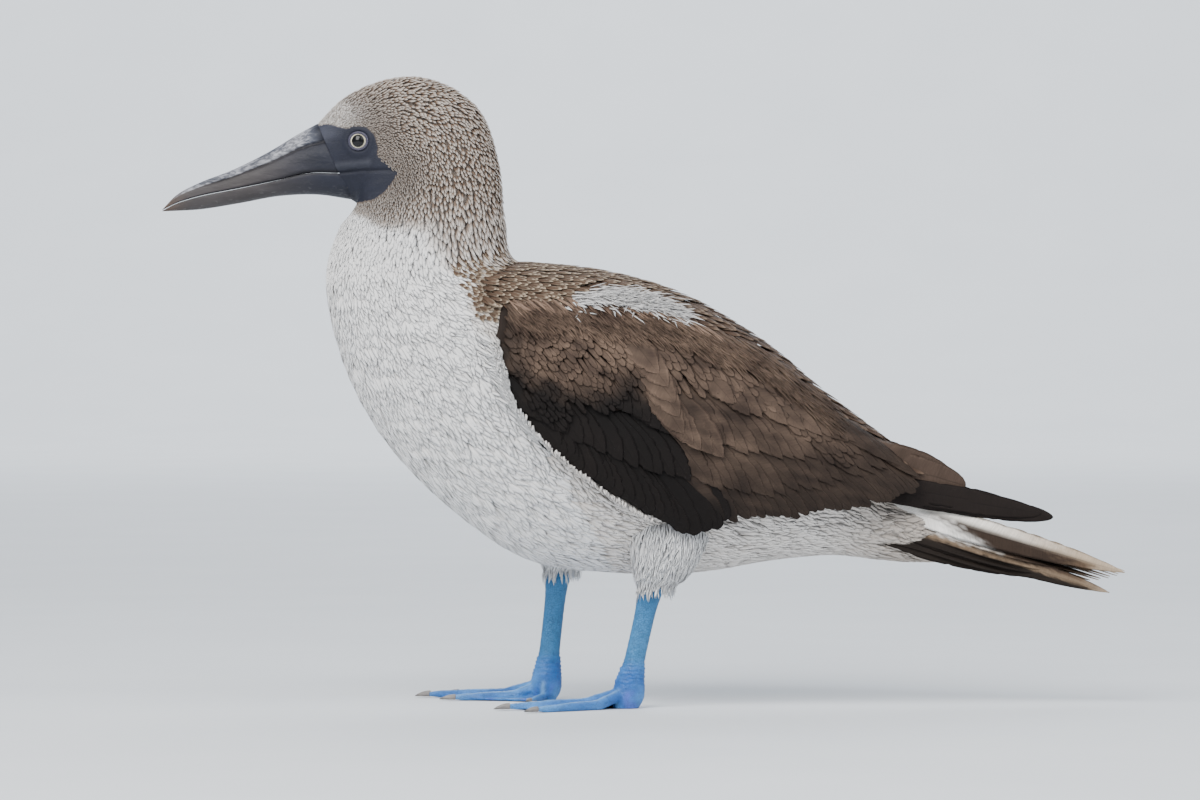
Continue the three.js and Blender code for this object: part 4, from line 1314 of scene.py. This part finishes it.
def side_vanes(plumage, sign, vanes, outline, out_at, tint_at, tilt=-0.09):
    """Long vanes that show their face in the side view, each over the one before it"""
    shares = np.array([s for s, _ in outline])
    breadth = np.array([b for _, b in outline])
    for number, (root_x, root_z, tip_x, tip_z, width) in enumerate(vanes):
        run = np.array([tip_x - root_x, tip_z - root_z], float)
        across = np.array([-run[1], run[0]]) / np.linalg.norm(run)
        aside = breadth[:, None] * ELEVEN_LINES * width / 2
        aside = aside * (1 - 0.1 * random.random(aside.shape) ** 4 * np.abs(ELEVEN_LINES))
        ahead = np.abs(aside) * 0.7 * (1 - shares[:, None])
        line = np.array([root_x, root_z]) + shares[:, None] * run
        flat = line[:, None] + aside[..., None] * across + ahead[..., None] * unit(run)
        out = out_at(number, shares[:, None], flat) + tilt * aside + 0.5 * (1 - ELEVEN_LINES**2)
        points = np.stack([flat[..., 0], sign * out, flat[..., 1]], -1)
        if sign == LEFT:
            points = points[:, ::-1]
        barb = shares[:, None] * np.linalg.norm(run)
        home = np.array([[0.1 + 0.12 * number, 0.5]])
        plumage.add(points[None], tint_at(number, points)[None], shares, ELEVEN_LINES, home, barb[None])


def make_hand(name, sign, finish):
    """The long dark feathers of the hand, with shorter ones above, crossed over the tail"""
    def out_at(number, shares, flat):
        face = wing_cover.side(flat[..., 0], flat[..., 1]) - 2
        return blend(face, blend(24, 5, shares) + 1.5 * number, smooth(shares, 0.1, 0.5))

    def tint_at(number, points):
        return np.broadcast_to(ink("#1d1613") if number < LONG_VANES else ink("#493b32"), points.shape)

    plumage = Plumage()
    side_vanes(plumage, sign, HAND, long_outline(40, 0.4, 0.62), out_at, tint_at)
    plumage.piece(f"hand_{name}", finish)


# Tail

# The tail's feathers in pairs: pitch in degrees below the horizontal, short as the share by which
# the outermost are shorter, and the other measures in millimetres
TAIL = {
    "pairs": 7,
    "root": (152, 136),
    "pitch": 17,
    "bow": 1.5,
    "start": 16,
    "length": 168,
    "short": 0.2,
    "width": 22,
    "spread": (3, 15),
    "radius": (22, 34),
    "layer": 1.55,
}

# Lines of the side view: along the top of the tail, and along its tan stripe
TAIL_TOP_LINE = [[150, 138], [177, 132], [312, 89]]
TAIL_STRIPE = [[158, 118], [220, 99], [287, 77.5], [300, 73]]

# The vanes down each side of the tail, given as those of the hand
TAIL_SIDES = [[150, 110, 262, 83, 15], [148, 120, 302, 73, 15], [152, 131, 312, 86, 17]]


def tail_markings(p):
    """White by the root and along the top, then brown, a tan stripe, and nearly black below it"""
    x = p[..., 0] + 7 * wave(p * [0.3, 1, 2.5], 9, 61)
    below_top = -edge_distance(p, TAIL_TOP_LINE)
    above = edge_distance(p, TAIL_STRIPE) + 0.8 * wave(p * [0.3, 1, 2.5], 6, 62)
    brown = blend(ink("#33271f"), ink("#6d5946"), smooth(x, 262, 304))
    colour = blend(ink("#eee9e2"), brown, smooth(x - 3 * below_top, 160, 190))
    colour = blend(ink("#756351"), colour, smooth(above, 1.2, 3.6))
    colour = blend(ink("#1f1813"), colour, smooth(above, -2.2, -0.2))
    cream = blend(ink("#ece5da"), ink("#b39f88"), smooth(x, 205, 290))
    colour = blend(cream, colour, smooth(below_top, 1.5, 5.5))
    return blend(colour, ink("#b3a08a"), 0.6 * smooth(x, 284, 304))


def make_tail(finish):
    """Long arched feathers in pairs under one another, pale by the root and shaft, brown beyond"""
    plumage = Plumage()
    outline = long_outline(56, 0.5, 0.5)
    shares = np.array([s for s, _ in outline])
    breadth = np.array([max(b * (1 - 0.45 * smooth(s, 0.55, 1)), 0.03) for s, b in outline])
    columns = np.linspace(-1, 1, 13)
    pitch = math.radians(TAIL["pitch"])
    for order in range(2 * TAIL["pairs"]):
        sign = RIGHT if order % 2 else LEFT
        t = order // 2 / (TAIL["pairs"] - 1)
        length = TAIL["length"] * (1 - TAIL["short"] * t**1.3)
        half = breadth[:, None] * TAIL["width"] / 2 * columns
        far = blend(TAIL["start"], length, shares)[:, None]
        far = np.minimum(far + 0.6 * np.abs(half) * (1 - shares[:, None] ** 2), length)
        radius = blend(*TAIL["radius"], far / TAIL["length"])
        middle = sign * blend(*TAIL["spread"], t) * blend(1, 0.5, shares)[:, None]
        turn = (middle + half) / radius
        bow = TAIL["bow"] * np.sin(math.pi * far / TAIL["length"])
        drop = radius * (1 - np.cos(turn)) + order * TAIL["layer"] + 0.4 * columns**2 - bow
        x = TAIL["root"][0] + far * math.cos(pitch) - drop * math.sin(pitch)
        z = TAIL["root"][1] - far * math.sin(pitch) - drop * math.cos(pitch)
        points = np.stack([x, radius * np.sin(turn), z], -1)
        shaft = np.exp(-((columns / 0.14) ** 2))[None] * (1 - smooth(shares, 0.7, 1))[:, None]
        tint = blend(tail_markings(points), ink("#b8a995"), 0.55 * shaft) * vary(1, 0.12)
        home = np.array([[0.05 + 0.9 * order / (2 * TAIL["pairs"]), 0.5]])
        plumage.add(points[None], tint[None], shares, columns, home, (shares * length)[None, :, None])

    def out_at(number, shares, flat):
        return blend(17, 15, shares) - 1.2 * number + 0 * flat[..., 0]

    def tint_at(number, points):
        return tail_markings(points)

    outline = long_outline(44, 0.3, 0.35, 0.8)
    for sign in (LEFT, RIGHT):
        side_vanes(plumage, sign, TAIL_SIDES, outline, out_at, tint_at, tilt=-0.25)
    plumage.piece("tail_vanes", finish, ["tail"])


# Bill, eyes and lids

# Half sections from the mouth to the ridge, as shares of the half width and of the height: with
# the groove beside the ridge plate, as it is by the root, and without it, as it is by the tip
UPPER_HALF = [
    [0.9, 0], [1, 0.07], [1, 0.2], [0.97, 0.36], [0.88, 0.5], [0.77, 0.585], [0.69, 0.615],
    [0.665, 0.64], [0.7, 0.69], [0.67, 0.79], [0.54, 0.89], [0.36, 0.955], [0.18, 0.99], [0, 1],
]
UPPER_PLAIN = [
    [0.9, 0], [1, 0.07], [1, 0.2], [0.98, 0.34], [0.94, 0.48], [0.88, 0.58], [0.84, 0.64],
    [0.81, 0.68], [0.76, 0.74], [0.67, 0.82], [0.54, 0.9], [0.36, 0.96], [0.18, 0.99], [0, 1],
]
LOWER_HALF = [
    [0.93, 0], [0.99, 0.1], [0.97, 0.3], [0.9, 0.52], [0.76, 0.72], [0.55, 0.88], [0.3, 0.97], [0, 1],
]
MOUTH_GAP = 0.5
BILL_RINGS, BILL_POINTS = 170, 54

# Where along the bill the groove begins to fade, and where it has gone
GROOVE_ENDS = (272, 292)

# Rings that carry the bill's root into the face: how far back, and their size
BILL_ROOT = ((9, 0.8), (1.5, 0.985))


def make_mandible(name, profile, plain, is_upper, finish):
    """Half of the bill, from inside the face to its tip"""
    rows = np.array(BILL, float)
    place = np.linspace(0, 1, BILL_RINGS) * (len(BILL) - 1)
    mouth = spline(np.column_stack([rows[:, 2], rows[:, 6] / 2, rows[:, 3]]), place)
    columns = (0, 1) if is_upper else (4, 5)
    edge = spline(np.column_stack([rows[:, columns[0]], rows[:, 0] * 0, rows[:, columns[1]]]), place)
    half_width = mouth[:, 1].copy() * (1 if is_upper else 0.96)
    mouth[:, 1] = 0
    reach = edge - mouth
    height = np.linalg.norm(reach, axis=1)
    reach = unit(reach)
    mouth = mouth + reach * MOUTH_GAP / 2
    height = np.maximum(height - MOUTH_GAP / 2, 0.35)
    fine = np.linspace(0, len(profile) - 1, BILL_POINTS)
    shape = spline(np.array(profile, float), fine)
    simple = spline(np.array(plain, float), fine)
    fade = smooth(-mouth[:, 0], *GROOVE_ENDS)[:, None, None]
    shape = shape[None] * (1 - fade) + simple[None] * fade
    whole = np.concatenate([shape * [-1, 1], shape[:, -2::-1]], axis=1)
    points = mouth[:, None] + reach[:, None] * (whole[..., 1] * height[:, None])[..., None]
    points[..., 1] = whole[..., 0] * half_width[:, None]
    if not is_upper:
        points = points[:, ::-1]
        whole = whole[:, ::-1]
    centre = points[0].mean(0)
    root = [(points[0] - centre) * size + centre + [back, 0, 0] for back, size in BILL_ROOT]
    points = np.concatenate([root, points])
    whole = np.concatenate([whole[:1], whole[:1], whole])
    fade = np.concatenate([fade[:1], fade[:1], fade])
    mesh = tube_mesh(name, points[::-1])
    high = whole[::-1, :, 1]
    along = np.broadcast_to(np.linspace(1, 0, len(points))[:, None], high.shape)
    paint(mesh, "along", along.ravel())
    paint(mesh, "high", high.ravel())
    plate = smooth(high, 0.63, 0.7) * is_upper
    paint(mesh, "plate", plate.ravel())
    seam = np.exp(-(((high - 0.625) / 0.045) ** 2)) * (1 - fade[::-1, :, 0]) * is_upper
    seam = np.maximum(seam, np.exp(-((high / 0.07) ** 2)))
    paint(mesh, "seam", seam.ravel())
    return add_piece(name, mesh, finish, ["bill_upper" if is_upper else "bill_lower"])


# How far the cornea swells and how the lid's ring is made, in millimetres
EYE_RINGS, EYE_POINTS, CORNEA_SWELL = 60, 72, 0.5
LID = {"rings": 96, "points": 20, "radius": 5.75, "thick": 0.85, "stands": 1.0}


def make_eyes(finish, lid):
    """Eyeballs with swelling corneas, and the fleshy rings round them"""
    for name, sign in SIDES.items():
        row, turn = body.locate(np.array([EYE["x"]]), np.array([EYE["z"]]), sign)
        surface = body.at(row, turn)[0]
        along, around = body.slopes(row, turn)
        out = unit(np.cross(along, around))[0]
        out = unit(out * 0.5 + np.array([-0.06, sign, 0.05]) * 0.5)
        side = unit(np.cross([0, 0, 1], out))
        up = np.cross(out, side)
        centre = surface + out * (EYE["shows"] - EYE["ball"])
        tilt, around = grid(np.linspace(0.004, 2.2, EYE_RINGS), full_turn(EYE_POINTS))
        flat = np.sin(tilt) * EYE["ball"]
        cornea = CORNEA_SWELL * smooth(flat, 4.8, 0) * (tilt < 1.5)
        ring = flat[..., None] * (np.cos(around)[..., None] * side + np.sin(around)[..., None] * up)
        points = centre + ring + ((np.cos(tilt) * EYE["ball"] + cornea)[..., None]) * out
        mesh = tube_mesh(f"eyeball_{name}", points)
        paint(mesh, "radius", np.where(tilt < 1.5, flat, 9).ravel())
        add_piece(f"eyeball_{name}", mesh, finish, [f"eye_{name}"])

        around, loop = grid(full_turn(LID["rings"]), full_turn(LID["points"]))
        reach = LID["radius"] + LID["thick"] * np.cos(loop) + 0.12 * np.cos(2 * around)
        x = EYE["x"] + reach * np.cos(around)
        z = EYE["z"] + reach * np.sin(around) * 0.97
        wrinkle = 1 + 0.08 * np.sin(around * 31) * np.sin(loop) ** 2
        y = body.side(x, z) + LID["stands"] + 0.75 * np.sin(loop) * wrinkle
        points = np.stack([x, sign * y, z], -1)
        mesh = make_mesh(f"eyelids_{name}", points, [lid_faces(LID["rings"], LID["points"], sign)])
        add_piece(f"eyelids_{name}", mesh, lid)


def lid_faces(rows, columns, sign):
    """Faces of a ring that closes both ways"""
    i, j = grid(np.arange(rows), np.arange(columns))
    k, m = (i + 1) % rows, (j + 1) % columns
    corners = [i * columns + j, k * columns + j, k * columns + m, i * columns + m]
    faces = np.stack(corners, -1).reshape(-1, 4)
    return faces if sign == LEFT else faces[:, ::-1]


# Legs and feet

# Girths down the bare leg: [share of its length, half length, half width], and sections of the
# heel: [x past the ankle, z, half length, half width]
SHANK = [[0, 8.6, 6.6], [0.16, 8, 6.1], [0.45, 6.7, 4.8], [0.72, 6.7, 4.8], [0.88, 8, 6], [1, 9.4, 7.4]]
HEEL = [[3, -1, 8, 7.5], [1.5, 6, 10.5, 9.4], [0.5, 13, 10.2, 8.6], [0, ANKLE, 9.4, 7.4]]
TOES = [
    {"name": "outer", "length": 76, "angle": 24, "thick": 7.6, "claw": 9},
    {"name": "middle", "length": 82, "angle": 0, "thick": 8.4, "claw": 9},
    {"name": "inner", "length": 62, "angle": -25, "thick": 7.6, "claw": 9},
    {"name": "hind", "length": 27, "angle": -92, "thick": 6, "claw": 5.4},
]

# Girths along a toe as shares of its thickness, and how its line bends, falls and thins
TOE_GIRTHS = [1.1, 1.04, 1, 0.96, 0.9, 0.86, 0.8, 0.74, 0.66, 0.55, 0.34]
TOE_BEND, TOE_RISE, TOE_LEVEL, TOE_TAPER, TOE_SINK = 0.12, 8, 0.35, 1.4, 0.5

# The webs, and the cell size and number of smoothing rounds that join a foot into one skin
WEB_THICK, WEB_NOTCHES = 1.5, (0.09, 0.1, 0.12)
MELT_CELL, MELT_EASE = 0.8, 4


def place_foot(points, sign):
    """From a foot's own frame, toes along X and outwards along Y, to its place under the leg"""
    points = points * [1, 1 if sign == LEFT else -1, 1]
    angle = math.radians(180 - sign * TURN_OUT)
    c, s = math.cos(angle), math.sin(angle)
    x, y = points[..., 0] * c - points[..., 1] * s, points[..., 0] * s + points[..., 1] * c
    return np.stack([x + ANKLE_X[sign], y + sign * LEG_SPREAD, points[..., 2]], -1)


def toe_line(toe, share):
    """Places along the middle of a toe, from the ankle to its end"""
    angle = np.radians(toe["angle"] * (1 - TOE_BEND * share))
    rise = TOE_RISE * (1 - np.minimum(1, share / TOE_LEVEL))
    height = rise + toe["thick"] / 2 - TOE_TAPER * share - TOE_SINK
    far = share * toe["length"]
    return np.stack([far * np.cos(angle), far * np.sin(angle), height], -1)


def ring_across(centre, degrees, radius, count):
    """Upright rings round places along a toe"""
    turn = full_turn(count)
    side = np.array([-math.sin(math.radians(degrees)), math.cos(math.radians(degrees)), 0])
    up = np.array([0, 0, 1.0])
    around = np.cos(turn)[None, :, None] * side + np.sin(turn)[None, :, None] * up
    return centre[:, None] + around * radius[:, None, None]


def level_rings(centres, half_x, half_y, count):
    """Level rings round places up the leg"""
    turn = full_turn(count)[None]
    x, y = np.cos(turn) * half_x[:, None], np.sin(turn) * half_y[:, None]
    return centres[:, None] + np.stack([x, y, 0 * x], -1)


def foot_parts(sign):
    """Toes, webs, heel and bare leg, as closed forms that reach into one another"""
    parts = []
    for toe in TOES:
        share = np.linspace(0, 1, 60)
        girth = spline(np.array(TOE_GIRTHS)[:, None], share * (len(TOE_GIRTHS) - 1))[:, 0]
        knuckle = 1 + 0.05 * np.cos(share * 2 * math.pi * (3.2 if toe["length"] > 40 else 1.5))
        rings = ring_across(toe_line(toe, share), toe["angle"], toe["thick"] / 2 * girth * knuckle, 20)
        parts.append(tube_mesh("toe", place_foot(rings, sign)))
    for a, b, notch in zip(TOES, TOES[1:], WEB_NOTCHES):
        i, j = grid(np.linspace(0, 1, 40), np.linspace(0, 1, 30))
        curve = 4 * j * (1 - j)
        share = 0.05 + (0.9 - notch * curve) * i
        p = toe_line(a, share) * (1 - j[..., None]) + toe_line(b, share) * j[..., None]
        folds = 0.45 * np.sin(j * 21 + 3 * i) * curve * smooth(i, 0.15, 0.6)
        z = np.maximum(p[..., 2] * (1 - 0.22 * curve) + folds, WEB_THICK + 0.2)
        upper = np.stack([p[..., 0], p[..., 1], z], -1)
        lower = upper - [0, 0, WEB_THICK]
        parts.append(sheet_mesh("web", place_foot(upper, sign), place_foot(lower, sign)))
    heel = np.array(HEEL, float)
    heel = spline(heel, np.linspace(0, len(heel) - 1, 30))
    centres = np.column_stack([heel[:, 0], 0 * heel[:, 0], heel[:, 1]])
    parts.append(tube_mesh("heel", place_foot(level_rings(centres, heel[:, 2], heel[:, 3], 36), sign)))
    shank = np.array(SHANK, float)
    shank = spline(shank, np.linspace(0, len(shank) - 1, 90))
    top = np.array([HIP_X[sign], sign * LEG_SPREAD, FEATHER_END[sign] + 6.0])
    end = np.array([ANKLE_X[sign], sign * LEG_SPREAD, ANKLE - 1.0])
    centres = top + shank[:, :1] * (end - top)
    parts.append(tube_mesh("shank", level_rings(centres, shank[:, 1], shank[:, 2], 36)))
    return parts


def make_foot(name, sign, finish):
    """A bare leg with its webbed foot, wrinkled round the ankle"""
    mesh = fuse(f"foot_skin_{name}", foot_parts(sign), MELT_CELL, MELT_EASE)
    p = points_of(mesh)
    normals = np.zeros(len(p) * 3, np.float32)
    mesh.vertices.foreach_get("normal", normals)
    normals = normals.reshape(-1, 3)
    low = smooth(p[:, 2], 34, 18)
    shank = smooth(p[:, 2], 22, 34)
    rings = np.sin(p[:, 2] * 2.3 + 1.4 * wave(p, 9, 5))
    rings = rings * smooth(p[:, 2], 13, 18) * smooth(p[:, 2], 34, 26)
    grain = wave(p, 3.2, 6) * 0.12 + wave(p, 1.8, 7) * 0.06
    deep = 0.34 * rings + grain * (0.5 + 0.5 * low)
    above = smooth(p[:, 2], 0.5, 1.5)
    p = p + normals * (deep * above)[:, None]
    p[:, 2] = np.maximum(p[:, 2], 0)
    mesh.vertices.foreach_set("co", (p * MM).astype(np.float32).ravel())
    mesh.update()
    toe_far = np.full(len(p), 1e9)
    share = np.linspace(0, 1, 60)
    for toe in TOES:
        line = place_foot(toe_line(toe, share), sign)
        far = np.linalg.norm(p[:, None, :2] - line[None, :, :2], axis=-1)
        toe_far = np.minimum(toe_far, far.min(1))
    web = smooth(toe_far, 3, 7) * smooth(p[:, 2], 14, 8)
    fold = np.exp(-((toe_far / 1.6) ** 2)) * smooth(p[:, 2], 15, 10)
    paint(mesh, "web", web)
    paint(mesh, "fold", fold)
    paint(mesh, "shank", shank)
    print(mesh.name, len(mesh.polygons), "faces")
    return add_piece(mesh.name, mesh, finish, [f"leg_{name}", f"foot_{name}"])


def make_claws(name, sign, finish):
    """A short blunt nail at the end of each toe"""
    for toe in TOES:
        share = np.linspace(0, 1, 30)
        end = toe_line(toe, np.array(1.0))
        angle = math.radians(toe["angle"] * (1 - TOE_BEND))
        ahead = np.array([math.cos(angle), math.sin(angle), 0])
        centre = end + ahead * (-1.5 + share * (toe["claw"] + 1.5))[:, None]
        centre[:, 2] = blend(end[2] + 0.3, 0.9, share**2)
        radius = toe["thick"] / 2 * np.interp(share, [0, 0.4, 0.8, 1], [0.5, 0.43, 0.22, 0.05])
        rings = ring_across(centre, toe["angle"], radius, 16)
        rings[..., 2] = np.maximum(rings[..., 2], 0.3)
        points = place_foot(rings, sign)
        if sign == RIGHT:
            points = points[:, ::-1]
        mesh = tube_mesh(f"nail_{toe['name']}_{name}", points)
        paint(mesh, "along", np.repeat(share, 16))
        add_piece(mesh.name, mesh, finish, [f"claw_{toe['name']}_{name}"])


# Everything in its place

soft = plumage_finish("soft_feathers", 0.12)
firm = vane_finish("firm_feathers")
make_skin(skin_finish())
make_head_coat(plumage_finish("head_feathers", 0.1))
make_soft_coat(soft)
make_thigh_coats(soft)
horn = bill_finish()
make_mandible("bill_upper_horn", UPPER_HALF, UPPER_PLAIN, True, horn)
make_mandible("bill_lower_horn", LOWER_HALF, LOWER_HALF, False, horn)
make_eyes(eye_finish(), lid_finish())
make_tail(firm)
make_mantle(firm)
make_white_patch(soft)
make_wing_lap(soft)
foot, claw = foot_finish(), claw_finish()
for name, sign in SIDES.items():
    make_wing_bed(name, sign, firm)
    make_wing_tiers(name, sign, firm)
    make_small_coverts(name, sign, firm)
    make_wing_fringe(name, sign, firm)
    make_hand(name, sign, firm)
    make_foot(name, sign, foot)
    make_claws(name, sign, claw)

# Floor, light and camera

# The camera, in metres, with its rise in degrees and its film in millimetres
VIEW_CENTRE = Vector((-0.0283, 0, 0.1976))
VIEW_DISTANCE, VIEW_RISE, VIEW_END = 4.333, 1.2, 100
SENSOR, LENS = 36, 200

# The floor, in millimetres, sweeps up into a wall behind the bird
FLOOR_END, FLOOR_SWEEP, FLOOR_SIDE, FLOOR_DROP, WALL_TOP = 6500, 2500, 9000, 0.2, 12000

# The even light from all round, and the lamps in metres, all but the last aimed at the bird
SKY_COLOUR, SKY_STRENGTH = (0.57, 0.64, 0.74, 1), 0.6
LIGHTS = [
    {"place": (-1.3, -2.2, 2.6), "size": 2.6, "power": 190, "tint": (1.0, 0.985, 0.96)},
    {"place": (1.6, -1.2, 2.2), "size": 2.2, "power": 36, "tint": (0.95, 0.975, 1.0)},
    {"place": (0.4, 2.4, 2.4), "size": 2.4, "power": 55, "tint": (0.96, 0.98, 1.0)},
    {"place": (0, 5.5, 4.5), "aim": (0, 9, 1.5), "size": 5, "power": 420, "tint": (0.97, 0.985, 1.0)},
]


def make_studio():
    """A plain pale floor, soft lamps, and the camera at the photograph's height and angle"""
    turn = np.linspace(0, math.pi / 2, 24)
    sweep = FLOOR_END + FLOOR_SWEEP * np.sin(turn)
    far = np.concatenate([[-FLOOR_SIDE], sweep, [FLOOR_END + FLOOR_SWEEP]])
    high = np.concatenate([[0], FLOOR_SWEEP * (1 - np.cos(turn)), [WALL_TOP]]) - FLOOR_DROP
    wide = np.linspace(-FLOOR_SIDE, FLOOR_SIDE, 3)
    net = np.stack(np.broadcast_arrays(wide[None], far[:, None], high[:, None]), -1)
    mesh = make_mesh("floor", net, [net_faces(*net.shape[:2])])
    floor = add_object("floor", mesh)
    finish = Finish("floor", {"Roughness": 0.85})
    finish.set(base_color=finish.mix(ink("#d6dade"), ink("#dfe2e5"), finish.noise(6.0)))
    mesh.materials.append(finish.material)
    for number, light in enumerate(LIGHTS):
        lamp = bpy.data.lights.new(f"light_{number}", "AREA")
        lamp.size, lamp.energy, lamp.color = light["size"], light["power"], light["tint"]
        thing = add_object(lamp.name, lamp)
        thing.location = light["place"]
        aim = Vector(light.get("aim", VIEW_CENTRE)) - Vector(light["place"])
        thing.rotation_euler = aim.to_track_quat("-Z", "Y").to_euler()
    world = bpy.data.worlds.new("sky")
    world.use_nodes = True
    sky = world.node_tree.nodes["Background"].inputs
    sky["Color"].default_value = SKY_COLOUR
    sky["Strength"].default_value = SKY_STRENGTH
    bpy.context.scene.world = world
    rise = math.radians(VIEW_RISE)
    back = Vector((0, -math.cos(rise), math.sin(rise)))
    data = bpy.data.cameras.new("camera")
    data.sensor_width, data.lens, data.clip_end = SENSOR, LENS, VIEW_END
    camera = add_object("camera", data)
    camera.location = VIEW_CENTRE + back * VIEW_DISTANCE
    camera.rotation_euler = (-back).to_track_quat("-Z", "Y").to_euler()
    bpy.context.scene.camera = camera


make_studio()
